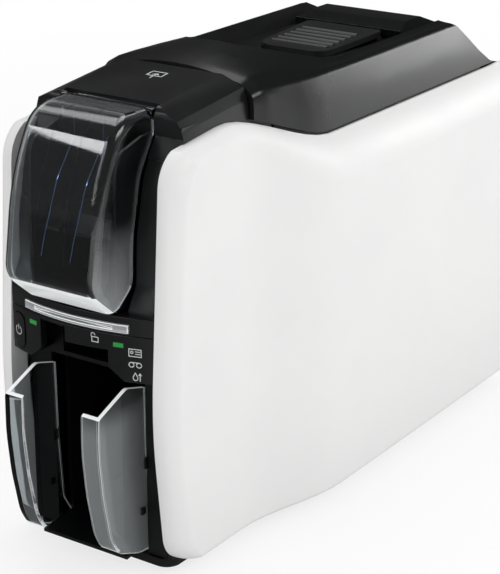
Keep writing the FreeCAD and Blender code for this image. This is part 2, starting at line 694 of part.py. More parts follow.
def latch_pad():
    """Ridged thumb pad that rocks on two pins at its rear; two hooks hang from its front."""
    plan = pad_plan(0, trough_floor_z - overrun, height)
    rise = (pad_back_z - pad_front_z) / (pad_back_y - pad_front_y)
    profile = [(pad_front_y, pad_front_z - pad_thick), (pad_back_y, pad_back_z - pad_thick),
               (pad_back_y, pad_back_z), (pad_front_y, pad_front_z)]
    body = slab_x(profile, -pad_half, pad_half)
    first_y = pad_front_y + pad_corner
    for i in range(ridge_count):
        y = first_y + i * ridge_pitch
        z = pad_front_z + rise * (y - pad_front_y)
        ridge = slab_x([(y - ridge_width, z - fit), (y + ridge_width, z - fit), (y, z + ridge_rise)],
                       2 * ridge_width - pad_front_half, pad_front_half - 2 * ridge_width)
        body = body.fuse(ridge)
    body = body.common(plan)
    pin = rod(-pad_half - pad_gap - wall, pad_half + pad_gap + wall, pad_axis_y, pad_axis_z, pad_pin_radius)
    parts = [body, pin]
    for side in (-1, 1):
        x0, x1 = sorted((side * pad_half, side * (pad_half - hook_width)))
        lug_top = pad_back_z - pad_thick
        parts.append(box(x0, x1, pad_axis_y - hook_depth, pad_axis_y + hook_depth - pad_gap,
                         pad_axis_z - pad_pin_radius, lug_top))
    low_z = pad_front_z - hook_drop
    for side in (-1, 1):
        x0 = side * hook_x - hook_width / 2
        top_z = pad_front_z - pad_thick + rise * (hook_y + hook_depth - pad_front_y) + fit
        parts.append(box(x0, x0 + hook_width, hook_y, hook_y + hook_depth, low_z, top_z))
        parts.append(slab_x([(hook_y - fit, low_z), (hook_y - hook_depth, low_z + hook_depth / 2),
                             (hook_y - fit, low_z + hook_depth)], x0, x0 + hook_width).fuse(
                     box(x0, x0 + hook_width, hook_y - fit, hook_y, low_z, low_z + hook_depth)))
    return fused(parts)


def pad_pin_bosses():
    """Bosses under the top cover that carry the pad's pins."""
    bosses = []
    reach = pad_pin_radius + wall
    for side in (-1, 1):
        inner = pad_half + pad_gap + fit
        x0 = min(side * inner, side * (inner + wall))
        block = box(x0, x0 + wall, pad_axis_y - reach, pad_axis_y + reach, pad_axis_z - reach,
                    trough_floor_z - fit)
        block = block.cut(rod(x0 - fit, x0 + wall + fit, pad_axis_y, pad_axis_z, pad_pin_radius + running))
        bosses.append(block)
    return bosses


# Front cover over the card feeder

cover_nose = 4.5                  # front of the cover before the door's hinge
cover_front_y = door_axis_y - cover_nose
cover_flat_half = 33.5
cover_chamfer_inset = 4.0         # insets from its base
cover_chamfer_drop = 5.4
cover_shoulder_inset = 1.6
cover_shoulder_drop = 11.5
cover_gap = 2.9                   # from its base to the top cover's seam line
cover_base_half = lid_nose_half - cover_gap
cover_chamfer_half = cover_base_half - cover_chamfer_inset
cover_shoulder_half = cover_base_half - cover_shoulder_inset
cover_brow_radius = 6.5           # rounding of its front edge beside the door
cover_rise = 0.1                  # slope of its top, rise per run
cover_wall = 2.6
cover_tongue_inset = 4.2          # the tongue under the top cover's rim
cover_tongue_reach = 16.0
cover_tongue_back_y = lid_front_y + cover_tongue_reach
hinge_radius = 3.4                # door barrel
hinge_pin_radius = 1.5
hinge_groove = 0.8                # gap behind the door's barrel
hinge_cheek_width = 5.5
cover_low_drop = 22.6             # its lower edge below the door's hinge
cover_low_z = door_axis_z - cover_low_drop


def cover_section(y, inset):
    top = cover_front_z + cover_rise * (y - door_axis_y) - inset
    points = [(cover_base_half - inset, cover_low_z), (cover_base_half - inset, panel_top(y) + fit),
              (cover_shoulder_half - inset, top - cover_shoulder_drop + inset / 2),
              (cover_chamfer_half - inset / 2, top - cover_chamfer_drop + inset / 4),
              (cover_flat_half, top)]
    wire = points + [(-x, z) for x, z in reversed(points)]
    return Part.makePolygon([V(x, y, z) for x, z in wire + wire[:1]])


def cheek_line():
    """Side view of the black frame beside the door: it follows the rear edge of the door's cheek."""
    points = spread(door_shares, door_front_y, door_axis_y, door_low_z, door_top_z)[door_face_edge_count + 2:-1]
    return [(y + strip_setback, z) + tuple(rest) for y, z, *rest in points]


def cheek_at(z):
    """Point of that line's top stretch at height z."""
    (y0, z0), (y1, z1) = cheek_line()[-2][:2], cheek_line()[-1][:2]
    return y0 + (y1 - y0) * (z - z0) / (z1 - z0), z


def cover_skirt(inset, low_z):
    """Block of the cover between the panels, below their top edge."""
    half = bezel_half - inset
    near, far = cheek_at(cover_low_z)[0] + inset, cheek_line()[-1][0] + inset
    top_z = top_nose_z + 2 * wall - inset
    back_y = cover_rear_y - inset
    return slab_x([(near, low_z), (far, cheek_line()[-1][1]), (far, top_z), (back_y, top_z), (back_y, low_z)],
                  -half, half)


def cover_brow():
    """Side view of the cover's front edge, as wide as the printer: the cheek's line, then a rounding."""
    near, crest = cheek_at(cover_low_z), cheek_line()[-1][:2]
    back_y = cover_rear_y + fit
    low_z = cover_low_z - overrun
    return slab_x([(near[0], low_z), near, crest,
                   (cover_front_y + strip_setback, cover_front_z, cover_brow_radius),
                   (back_y, cover_front_z + cover_rise * (back_y - door_axis_y)), (back_y, low_z)],
                  -rear_half, rear_half)


def front_cover():
    """Black cover over the feeder: a flat crown with chamfers, hinge cheeks and a tongue under the lid."""
    outer = Part.makeLoft([cover_section(cheek_at(cover_low_z)[0], 0), cover_section(cover_rear_y, 0)], True, True)
    inner_y = cover_front_y + strip_setback + 2 * cover_wall
    inner = Part.makeLoft([cover_section(inner_y, cover_wall),
                           cover_section(cover_rear_y - cover_wall, cover_wall)], True, True)
    above = above_wave(fit, -rear_half, rear_half)
    outer = outer.common(above).fuse(cover_skirt(0, cover_low_z))
    inner = inner.common(above_wave(fit + wall, -rear_half, rear_half)).fuse(
        cover_skirt(cover_wall, cover_low_z - overrun))
    brow = cover_brow()
    shell = outer.common(brow).cut(inner)
    window_half = door_half + fit
    top_here = cover_front_z + cover_wall
    ys = [cover_rear_y - cover_wall, lid_front_y + lid_rim_depth, cover_tongue_back_y]
    tongue_out = Part.makeLoft([lid_inner_section(y, cover_tongue_inset) for y in ys], True, True)
    tongue_in = Part.makeLoft([lid_inner_section(y, cover_tongue_inset + plate) for y in [ys[0] - fit] + ys[1:2]
                               + [ys[2] + fit]], True, True)
    tongue = tongue_out.cut(tongue_in).common(above)
    opening = Part.makeLoft([cover_section(y, cover_tongue_inset + plate) for y in
                             (cover_rear_y - 2 * cover_wall, cover_rear_y + fit)], True, True)
    shell = shell.cut(opening).fuse(tongue)
    groove_back = door_axis_y + hinge_radius + hinge_groove
    shell = shell.cut(box(-window_half, window_half, cover_front_y - overrun, groove_back, cover_low_z, top_here))
    for side in (-1, 1):
        near = window_half
        far = near + hinge_cheek_width
        x0, x1 = min(side * near, side * far), max(side * near, side * far)
        top_z = cover_front_z - cover_wall / 2
        cheek = slab_x([(cover_front_y + fit, door_axis_z - 2 * hinge_radius),
                        (groove_back + cover_wall, door_axis_z - 3 * hinge_radius),
                        (groove_back + cover_wall, top_z), (cover_front_y + fit, top_z)], x0, x1)
        shell = shell.fuse(cheek.common(brow))
        shell = shell.cut(rod(x0 - fit, x1 + fit, door_axis_y, door_axis_z, hinge_pin_radius + running))
    return shell.removeSplitter()


# Input door: clear, hinged at its top

door_setback = 1.2                # behind the front of the wings
door_front_y = wing_front_y + door_setback
door_top_z = door_axis_z + hinge_radius
door_length = 106.0
door_low_z = door_top_z - door_length
door_wall = 2.2
door_round = 6.0                  # rounding between the door's face and its cheeks
door_shares = [(0.97, 1.0), (0.47, 1.0, 0.21), (0.125, 0.67, 1.2), (-0.03, 0.15, 0.14), (0.30, 0.0),
               (0.37, 0.03), (0.59, 0.12, 0.1), (0.61, 0.36, 0.5), (0.74, 0.68, 0.3), (0.955, 0.86), (0.97, 0.87)]
door_face_edge_count = 4               # the outline's first edges are its face, the rest its open rear


def door_outline(inset, x, open_rear=0):
    """Side outline of the door: a domed face, and the cheeks' rear edge, moved back for the hollow."""
    points = spread(door_shares, door_front_y, door_axis_y, door_low_z, door_top_z)
    lip = door_face_edge_count
    low = (points[lip][0] + open_rear, points[lip][1] - open_rear)
    rear = [(point[0] + open_rear,) + point[1:] for point in points[lip + 1:]]
    top = (points[0][0] + open_rear, points[0][1])
    points = [top] + points[1:lip] + [low] + rear
    return outline(drawn_in(points, inset, door_face_edge_count), place_side(x))


def rounded_body(outline_at, half, radius, inset):
    """A body along X whose side outline draws in near both ends, like a moulded corner."""
    turns = (0, 22.5, 45, 67.5, 90)
    sections = []
    for turn in turns:
        angle = math.radians(turn)
        x = half - radius + radius * math.sin(angle)
        sections.append(outline_at(inset + radius * (1 - math.cos(angle)), x))
    end = Part.makeLoft(sections, True, True)
    flat = Part.Face(outline_at(inset, radius - half)).extrude(V(2 * (half - radius), 0, 0))
    return flat.multiFuse([end, mirrored(end)])


def input_door():
    """Clear door over the input bay: a domed shell, open behind, with a hinge barrel and two pins."""
    outer = rounded_body(lambda inset, x: door_outline(inset, x), door_half, door_round, 0)
    inner_round = door_round - door_wall
    inner = rounded_body(lambda inset, x: door_outline(inset, x, overrun), door_half - door_wall, inner_round,
                         door_wall)
    barrel = rod(-door_half, door_half, door_axis_y, door_axis_z, hinge_radius)
    shell = outer.cut(inner).fuse(barrel)
    reach = door_half + fit + hinge_cheek_width - fit
    for side in (-1, 1):
        x0, x1 = sorted((side * (door_half - door_wall), side * reach))
        shell = shell.fuse(rod(x0, x1, door_axis_y, door_axis_z, hinge_pin_radius))
    return shell


fin_x = 10.0
fin_thick = 0.8
fin_shares = [(0.70, 0.985), (0.70, 0.83), (0.42, 0.64, 0.4), (0.20, 0.36, 0.6), (0.145, 0.27)]


def door_fin(x):
    """Tinted rib that follows the inside of the door's face, face to face with it."""
    inner = spread(fin_shares, door_front_y, door_axis_y, door_low_z, door_top_z)
    face = Part.Face(door_outline(door_wall, x - fin_thick / 2, 0)).extrude(V(fin_thick, 0, 0))
    top_y, low_z = inner[0][0], inner[-1][1]
    sickle = slab_x(inner + [(door_front_y - overrun, low_z), (door_front_y - overrun, door_top_z),
                             (top_y, door_top_z)], x - fin_thick, x + fin_thick)
    return face.common(sickle)


# Input bay

tray_half = 29.2                  # outer half width of the feeder tray, inside the door's cheeks
tray_wall = 2.0
tray_floor_z = path_z - plate
tray_reach = 18.0                 # in front of the front frame
tray_front_y = frame_front_y - tray_reach
tray_back_y = along("tray_back")
tray_shares = [(0.0, 0.0), (1.0, 0.0), (1.0, 0.96), (0.30, 0.96, 0.05), (0.03, 0.90, 0.1), (0.0, 0.5)]
tray_top_drop = 6.6               # below the door's hinge
tray_top_z = door_axis_z - tray_top_drop
pick_axis_y = along("pick_axis")
tray_window_half = 26.0
guide_rib_width = 1.2
guide_rib_half = 18.0             # outermost ribs on the rear wall
guide_rib_count = 4


def input_hopper():
    """Feeder tray: two upright cheeks, a floor with a window for the pick roller, a rear wall and guide ribs."""
    cheek = spread(tray_shares, tray_front_y, tray_back_y, tray_floor_z - plate, tray_top_z)
    low = tray_floor_z - plate
    parts = []
    for side in (-1, 1):
        x0, x1 = sorted((side * tray_half, side * (tray_half - tray_wall)))
        parts.append(slab_x(cheek, x0, x1))
    inner = tray_half - tray_wall
    parts.append(box(-inner, inner, tray_front_y, tray_back_y, low, tray_floor_z - fit))
    parts.append(box(-inner, inner, tray_back_y - tray_wall, tray_back_y, path_z + wall, tray_top_z - overrun))
    rib_low, rib_high = path_z + wall, tray_top_z - overrun
    for i in range(guide_rib_count):
        x = guide_rib_half * (2 * i / (guide_rib_count - 1) - 1)
        parts.append(box(x - guide_rib_width / 2, x + guide_rib_width / 2, tray_back_y - tray_wall - guide_rib_width,
                         tray_back_y - tray_wall + fit, rib_low, rib_high))
    body = fused(parts)
    window_y = roller_radius + fit * 2
    window = box(-tray_window_half, tray_window_half, pick_axis_y - window_y, tray_back_y + fit, low - fit, path_z)
    return body.cut(window)


weight_half = 26.6
weight_back_y = along("weight_back")
weight_bend_reach = 2.0           # in front of the front frame
weight_front_reach = 14.0
weight_rise = 39.0                # over the printing path, on a full stack of cards
weight_bend_y = frame_front_y - weight_bend_reach
weight_front_y = frame_front_y - weight_front_reach
weight_z = path_z + weight_rise
weight_slope_drop = 6.0
weight_boss_radius = 6.0


def card_weight():
    """Card weight: a plate with a sloping nose, ribs and a round boss, that slides in the tray."""
    plate_z = weight_z + plate
    profile = [(weight_back_y, weight_z), (weight_back_y, plate_z), (weight_bend_y, plate_z),
               (weight_front_y, plate_z - weight_slope_drop), (weight_front_y, weight_z - weight_slope_drop),
               (weight_bend_y, weight_z)]
    body = slab_x(profile, -weight_half, weight_half)
    ribs = [box(x - plate / 2, x + plate / 2, weight_bend_y, weight_back_y, weight_z, plate_z + 2 * plate)
            for x in (-weight_half / 2, weight_half / 2)]
    middle_y = (weight_back_y + weight_bend_y) / 2
    boss = post(0, middle_y, weight_z, plate_z + 2 * wall, weight_boss_radius)
    slot_half = fin_thick / 2 + plate / 2
    for side in (-1, 1):
        x = side * fin_x
        body = body.cut(box(x - slot_half, x + slot_half, weight_front_y - fit, weight_bend_y, 0, height))
    return fused([body] + ribs + [boss])


# Bezels below the door

bezel_bow_radius = 140.0
bezel_setback = 19.2              # behind the front of the wings
bezel_front_y = wing_front_y + bezel_setback
bezel_half = core_nose_half - fit
bezel_back_y = frame_front_y - fit
bezel_seam_drop = 16.4            # parting line of the two bezels below the path
bezel_seam_z = path_z - bezel_seam_drop
chin_drop = 6.0
chin_top_z = path_z - chin_drop
strip_inner_half = door_half + 1.2
strip_setback = 1.4               # strips lie this far behind the door's cheeks
strip_depth = 3.0
slot_bar_rise = 1.3               # over the parting line
slot_bar_height = 4.7
slot_bar_low_z = bezel_seam_z + slot_bar_rise
slot_bar_high_z = slot_bar_low_z + slot_bar_height
slot_bar_half = 36.0
slot_bar_proud = 0.8
slot_bar_depth = 4.0
slot_mouth = 1.4                  # height of the hand-feed slot


def bow_plan(setback, depth_back):
    """Plan of a bowed strip between the panels: an arc in front, a straight back."""
    front_y = bezel_front_y + setback
    sag = bezel_bow_radius - math.sqrt(bezel_bow_radius ** 2 - bezel_half ** 2)
    left, middle, right = (-bezel_half, front_y + sag), (0, front_y), (bezel_half, front_y + sag)
    return left, middle, right, depth_back


def bowed(setback, back_y, z0, z1, half=bezel_half):
    """Bowed block from z0 to z1, as wide as half to each side."""
    left, middle, right, back = bow_plan(setback, back_y)
    place = place_plan(z0)
    edges = [Part.Arc(place(*left), place(*middle), place(*right)).toShape(),
             Part.LineSegment(place(*right), place(right[0], back)).toShape(),
             Part.LineSegment(place(right[0], back), place(left[0], back)).toShape(),
             Part.LineSegment(place(left[0], back), place(*left)).toShape()]
    block = Part.Face(Part.Wire(edges)).extrude(V(0, 0, z1 - z0))
    if half < bezel_half:
        block = block.common(box(-half, half, front_limit_y, back, z0, z1))
    return block


front_limit_y = wing_front_y - overrun


def upper_bezel():
    """Black surround of the door: a bowed chin with a hand-feed slot and two strips up beside the door."""
    chin = bowed(0, bezel_back_y, bezel_seam_z, chin_top_z)
    groove = bowed(slot_bar_depth + slot_bar_proud, bezel_back_y, slot_bar_low_z - fit, slot_bar_high_z + fit)
    band = bowed(-overrun, bezel_back_y, slot_bar_low_z - fit, slot_bar_high_z + fit, slot_bar_half + fit)
    chin = chin.cut(band.cut(groove))
    front = cheek_line()
    top_z = cover_low_z - fit
    front[-1] = cheek_at(top_z)
    chin_y = bezel_front_y + bezel_bow_radius - math.sqrt(bezel_bow_radius ** 2 - bezel_half ** 2)
    strip = [(chin_y, chin_top_z - fit), (chin_y, chin_top_z + strip_depth)] + front
    rear_y_here = cover_front_y + cover_wall
    step_z = frame_step_z + fit
    strip += [(rear_y_here, top_z), (rear_y_here, step_z), (bezel_back_y, step_z), (bezel_back_y, chin_top_z - fit)]
    parts = [chin]
    for side in (-1, 1):
        x0, x1 = sorted((side * strip_inner_half, side * bezel_half))
        parts.append(slab_x(strip, x0, x1))
    return fused(parts)


def feed_slot_bar():
    """Clear bar in the chin with the slot for single cards."""
    front = bowed(-slot_bar_proud, bezel_back_y, slot_bar_low_z, slot_bar_high_z, slot_bar_half)
    back = bowed(slot_bar_depth, bezel_back_y + fit, slot_bar_low_z - fit, slot_bar_high_z + fit)
    middle_z = (slot_bar_low_z + slot_bar_high_z) / 2
    mouth_half = card_width / 2 + fit
    mouth = box(-mouth_half, mouth_half, front_limit_y, bezel_back_y, middle_z - slot_mouth / 2,
                middle_z + slot_mouth / 2)
    mouth = mouth.common(bowed(-overrun, bezel_front_y + slot_bar_depth - wall / 2, slot_bar_low_z, slot_bar_high_z))
    return front.cut(back).cut(mouth)


lower_height = 27.0
lower_low_z = bezel_seam_z - lower_height
lower_thick = 5.0
led_x = 30.0
led_drop = 6.1                    # below the parting line
led_z = bezel_seam_z - led_drop
led_length = 6.0
led_height = 2.6
button_x = -43.0
button_drop = 14.6
button_z = bezel_seam_z - button_drop
button_half_width = 5.2
button_half_height = 10.5
button_travel = 1.2
exit_mouth_shares = [(0.43, 0.93), (0.14, 0.93), (0.14, 0.30), (0.0, 0.0), (0.0, -0.1), (1.0, -0.1), (1.0, 0.0),
                     (0.86, 0.27), (0.86, 0.64), (0.43, 0.60)]
exit_mouth_half = 33.0


def lower_bezel():
    """Bowed bezel with the card mouth, two light windows and the power button's hole."""
    top = bezel_seam_z - fit
    body = bowed(0, bezel_back_y, lower_low_z, top).cut(bowed(lower_thick, bezel_back_y + fit, lower_low_z + wall,
                                                             top - wall))
    mouth = spread(exit_mouth_shares, -exit_mouth_half, exit_mouth_half, lower_low_z, top)
    body = body.cut(slab_y(mouth, front_limit_y, bezel_back_y + fit))
    for side in (-1, 1):
        x = side * led_x
        body = body.cut(box(x - led_length / 2, x + led_length / 2, front_limit_y, bezel_back_y - overrun,
                            led_z - led_height / 2, led_z + led_height / 2))
    return body.cut(button_form(fit, front_limit_y, bezel_back_y + fit))


def button_form(grow, y0, y1):
    """Upright oval of the power button, from y0 to y1."""
    width_half = button_half_width + grow
    centre = button_half_height - button_half_width
    bar = box(button_x - width_half, button_x + width_half, y0, y1, button_z - centre, button_z + centre)
    ends = [pin_y(button_x, button_z + side * centre, y0, y1, width_half) for side in (-1, 1)]
    return fused([bar] + ends)


def power_button():
    """Oval push button with a dished face that follows the bezel's bow."""
    block = button_form(0, front_limit_y, bezel_back_y - wall)
    return block.common(bowed(-button_travel / 2, bezel_back_y, lower_low_z, bezel_seam_z))


def led_lens(x):
    half = led_length / 2 - fit / 2
    rise = led_height / 2 - fit / 2
    block = box(x - half, x + half, front_limit_y, bezel_back_y, led_z - rise, led_z + rise)
    return block.common(bowed(-fit / 2, bezel_back_y, lower_low_z, bezel_seam_z)).common(
        box(x - half, x + half, front_limit_y, bezel_front_y + 2 * lower_thick, led_z - rise, led_z + rise))


# Output wings and tray

wing_inner_half = 30.8
wing_thick = 2.4
wing_low_z = 6.2
wing_top_drop = 1.3               # below the bay's roof
wing_length = 52.0
wing_high_z = bay_high_z - wing_top_drop
wing_back_y = wing_front_y + wing_length
wing_lip_half = 21.0              # inner edge of the front lip
wing_shares = [(0.0, 0.91, 0.03), (-0.01, 0.70, 1.2), (0.045, 0.46, 1.0), (0.15, 0.22, 0.3), (0.27, 0.12, 0.12),
               (0.63, 0.05, 0.2), (1.0, 0.03), (1.0, 0.05), (0.86, 0.16, 0.1), (0.80, 0.57, 0.4), (0.79, 0.955),
               (0.48, 1.0, 0.05)]
wing_face_edge_count = 6


def wing(side):
    """Clear side wing of the output bay: a cheek plate with a lip that turns in round the front."""
    points = spread(wing_shares, wing_front_y, wing_back_y, wing_low_z, wing_high_z)
    outer_half = wing_inner_half + wing_thick
    block = slab_x(points, wing_lip_half, outer_half)
    inner = [(y + (overrun if i >= wing_face_edge_count else 0), z) + tuple(rest)
             for i, (y, z, *rest) in enumerate(points)]
    moved = [(y + wing_thick, z) + tuple(rest) for y, z, *rest in inner]
    moved[-1] = (moved[-1][0], moved[-1][1] + overrun, moved[-1][2])
    moved[0] = (moved[0][0], moved[0][1] + overrun, moved[0][2])
    moved[-2] = (moved[-2][0], moved[-2][1] + overrun)
    hollow = slab_x(moved, wing_lip_half - overrun, wing_inner_half)
    toe = box(wing_lip_half - fit, wing_inner_half, wing_front_y + wing_thick * 4, wing_back_y + fit,
              0, bay_toe + overrun)
    solid = block.cut(hollow).cut(toe)
    return solid if side > 0 else mirrored(solid)


def output_tray():
    """Floor of the output bay: a plate that falls towards the front, on three ribs."""
    half = wing_inner_half - fit
    y0, y1 = wing_front_y + nose_setback, frame_front_y + card_length
    run = y1 - y0
    z0 = skirt_z + fit
    low, high = z0 + plate, z0 + plate + overrun
    body = slab_x([(y0, low), (y1, high), (y1, high + plate), (y0, low + plate)], -half, half)
    ribs = []
    for x in (-half + plate, 0, half - plate):
        rib = slab_x([(base_front_y + fit, z0), (y1, z0), (y1, high + fit),
                      (base_front_y + fit, low + fit + overrun * (base_front_y - y0) / run)], x - plate / 2, x + plate / 2)
        ribs.append(rib)
    return fused([body] + ribs)


def output_bin():
    """Black walls and roof of the output bay behind the front frame."""
    x0, x1 = bay_half, bay_half + wall
    y0, y1 = wing_back_y + fit, frame_front_y + card_length
    z0, z1 = skirt_z + fit, bay_high_z
    parts = []
    for side in (-1, 1):
        a, b = sorted((side * x0, side * x1))
        parts.append(box(a, b, y0, y1 + wall, z0, z1))
    parts.append(box(-x0, x0, y1 + fit, y1 + wall, z0, z1))
    parts.append(box(-x1, x1, y1 - card_length / 2, y1 + wall, z1, z1 + plate))
    return fused(parts)


# Card transport

transport_inner_half = 31.0
transport_plate = 2.0
transport_front_y = frame_front_y + frame_plate + fit
transport_back_y = along("transport_back")
transport_low_z = bay_high_z + plate + fit
transport_rise = 18.0             # over the path
transport_high_z = path_z + transport_rise
platen_y = along("platen_axis")
cleaning_y = along("cleaning_axis")
exit_axis_y = along("exit_axis")
rear_roller_y = along("rear_axis")
shaft_radius = 3.0
pulley_radius = 6.0
pulley_width = 5.0
belt_thick = 1.2
belt_width = 4.4
belt_gap = 0.3
supply_y = along("supply_axis")
takeup_y = along("takeup_axis")
spool_rise = 32.0                 # over the path
spool_z = path_z + spool_rise
supply_radius = 14.0
takeup_radius = 10.0
cartridge_front_reach = 16.0      # past the spools
cartridge_back_reach = 20.0
cartridge_front_y = takeup_y - cartridge_front_reach
cartridge_back_y = supply_y + cartridge_back_reach
cartridge_half = 30.4
cartridge_wall = 2.0
cartridge_under = 18.0            # below and above the spools' axes
cartridge_over = 10.0
cartridge_low_z = spool_z - cartridge_under
cartridge_high_z = spool_z + cartridge_over
head_front_reach = 8.0            # before and behind the platen's axis
head_back_reach = 7.0
head_front_y = platen_y - head_front_reach
head_back_y = platen_y + head_back_reach
module = 1.0
pinion_teeth = 16
gear_teeth = 40
gear_backlash = 0.4
gear_width = 5.0
gear_gap = 1.6                    # beside the transport plate
gear_start_x = transport_inner_half + transport_plate + gear_gap
gear_centres = module * (pinion_teeth + gear_teeth) / 2 + gear_backlash
motor_bearing_deg = -42.0
motor_radius = 14.0
motor_length = 26.0
motor_y = platen_y + gear_centres * math.cos(math.radians(motor_bearing_deg))
motor_z = roller_axis_z + gear_centres * math.sin(math.radians(motor_bearing_deg))
tooth_root_share = 1.15
tooth_root_half_share = 0.62
tooth_tip_half_share = 0.30

path_rollers = [("pick_roller", pick_axis_y, roller_radius), ("cleaning_roller", cleaning_y, roller_radius - fit),
                ("platen_roller", platen_y, roller_radius - fit), ("rear_roller", rear_roller_y, roller_radius - fit)]


def transport_plate_side():
    """Right-hand transport plate: bearing holes for the rollers, a lower front, lightening windows."""
    low, high = transport_low_z, transport_high_z
    front, back = transport_front_y, transport_back_y
    step_y = cartridge_front_y - overrun
    step_z = path_z + overrun
    points = [(front, low), (back, low), (back, high, overrun), (step_y, high), (step_y - overrun, step_z),
              (front, step_z)]
    x0, x1 = transport_inner_half, transport_inner_half + transport_plate
    sheet = slab_x(points, x0, x1)
    for _, y, _ in path_rollers:
        sheet = sheet.cut(rod(x0 - fit, x1 + fit, y, roller_axis_z, shaft_radius + running))
    sheet = sheet.cut(rod(x0 - fit, x1 + fit, exit_axis_y, exit_axis_z, shaft_radius + running))
    window_low, window_high = low + overrun, roller_axis_z - 2 * overrun
    for y0, y1 in ((cleaning_y, platen_y), (rear_roller_y, transport_back_y)):
        sheet = sheet.cut(box(x0 - fit, x1 + fit, y0 + overrun, y1 - overrun, window_low, window_high))
    return sheet


def transport_plate_left():
    """Left-hand plate: the mirror image, with a hole for the motor's shaft."""
    sheet = mirrored(transport_plate_side())
    x1 = -transport_inner_half
    return sheet.cut(rod(x1 - 2 * transport_plate, x1 + fit, motor_y, motor_z, shaft_radius + fit))


def pulley(x0, y, z):
    """Belt pulley: a plain drum, a little wider than its belt."""
    return rod(x0, x0 + pulley_width, y, z, pulley_radius)


pulley_gap = 1.2
pulley_x = transport_inner_half + transport_plate + pulley_gap
left_pulley_x = -(pulley_x + gear_width + pulley_gap + pulley_width)
tyre_half = 25.0


def roller(y, z, radius, right, left, geared):
    """Rubber-covered roller on a steel shaft, with its pulleys and, on the platen, the driven gear."""
    clear = fit
    right_end = pulley_x + pulley_width + clear if right else transport_inner_half + transport_plate + clear
    left_end = left_pulley_x - clear if left else -(transport_inner_half + transport_plate + clear)
    if geared:
        left_end = -(gear_start_x + gear_width + clear)
    parts = [rod(left_end, right_end, y, z, shaft_radius), rod(-tyre_half, tyre_half, y, z, radius)]
    if right:
        parts.append(pulley(pulley_x, y, z))
    if left:
        parts.append(pulley(left_pulley_x, y, z))
    if geared:
        parts.append(gear(gear_teeth, y, z, -(gear_start_x + gear_width), 0))
    return fused(parts)


def gear(teeth, y, z, x0, turn):
    """Spur gear along X: tapered teeth round a disc."""
    pitch = module * teeth / 2
    root = pitch - module * tooth_root_share
    tip = pitch + module
    points = []
    step = 2 * math.pi / teeth
    root_half = module * math.pi / 4 * 2 * tooth_root_half_share / root
    tip_half = module * math.pi / 4 * 2 * tooth_tip_half_share / tip
    for i in range(teeth):
        middle = turn + i * step
        for offset, radius in ((-root_half, root), (-tip_half, tip), (tip_half, tip), (root_half, root)):
            angle = middle + offset
            points.append((y + radius * math.cos(angle), z + radius * math.sin(angle)))
    return slab_x(points, x0, x0 + gear_width)


def motor_pinion():
    """Pinion and shaft of the drive motor."""
    bearing = math.radians(motor_bearing_deg)
    gap_turn = bearing + math.pi + math.pi / pinion_teeth
    mesh = gear_teeth * bearing / (2 * math.pi)
    shift = (mesh - math.floor(mesh)) * 2 * math.pi / pinion_teeth
    teeth = gear(pinion_teeth, motor_y, motor_z, -(gear_start_x + gear_width), gap_turn + shift)
    shaft = rod(-(gear_start_x + gear_width + fit), -(transport_inner_half + fit), motor_y, motor_z, shaft_radius - fit)
    return fused([teeth, shaft])


def drive_motor():
    """Motor can on the inside of the left plate."""
    x0 = -transport_inner_half + fit
    return fused([rod(x0, x0 + motor_length, motor_y, motor_z, motor_radius),
                  rod(x0 + motor_length - fit, x0 + motor_length + plate, motor_y, motor_z, motor_radius / 2)])


def stadium(y0, z0, y1, z1, radius, x0, x1):
    """Solid with the outline of a belt round two equal pulleys."""
    length = math.hypot(y1 - y0, z1 - z0)
    ny, nz = -(z1 - z0) / length * radius, (y1 - y0) / length * radius
    strip = slab_x([(y0 + ny, z0 + nz), (y1 + ny, z1 + nz), (y1 - ny, z1 - nz), (y0 - ny, z0 - nz)], x0, x1)
    return fused([strip, rod(x0, x1, y0, z0, radius), rod(x0, x1, y1, z1, radius)])


def belt(y0, z0, y1, z1, x):
    inner = pulley_radius + belt_gap
    x0 = x + (pulley_width - belt_width) / 2
    x1 = x0 + belt_width
    loop = stadium(y0, z0, y1, z1, inner + belt_thick, x0, x1)
    return loop.cut(stadium(y0, z0, y1, z1, inner, x0 - fit, x1 + fit))


# Ribbon

hub_radius = 3.5
hub_reach = 1.6


def ribbon_cartridge():
    """Open frame of the ribbon cartridge: two side flanges with bearing holes, joined by three bars."""
    x1 = cartridge_half
    x0 = x1 - cartridge_wall
    front, back = cartridge_front_y, cartridge_back_y
    low, high = cartridge_low_z, cartridge_high_z
    flange_points = [(front, low + overrun), (front + overrun, low), (back - overrun, low),
                     (back, low + overrun), (back, high, overrun), (supply_y - 3 * overrun, high),
                     (supply_y - 4 * overrun, high - overrun), (takeup_y + 3 * overrun, high - overrun),
                     (takeup_y + 2 * overrun, high), (front, high, overrun)]
    flange = slab_x(flange_points, x0, x1)
    for y in (supply_y, takeup_y):
        flange = flange.cut(rod(x0 - fit, x1 + fit, y, spool_z, hub_radius + running))
    parts = [flange, mirrored(flange)]
    bar_z = low + 2 * plate
    for y, z in ((front + plate, high - 2 * overrun), (back - plate, high - 2 * overrun), (takeup_y + 3 * overrun, bar_z)):
        parts.append(box(-x0, x0, y - plate, y + plate, z - plate, z + plate))
    return fused(parts)


def spool(y, radius):
    """Ribbon spool: a core wound with ribbon, between small hubs that turn in the cartridge's flanges."""
    wound_half = card_width / 2
    hub_half = cartridge_half + hub_reach - fit
    return fused([rod(-hub_half, hub_half, y, spool_z, hub_radius),
                  rod(-wound_half, wound_half, y, spool_z, radius)])


film_thick = 0.5


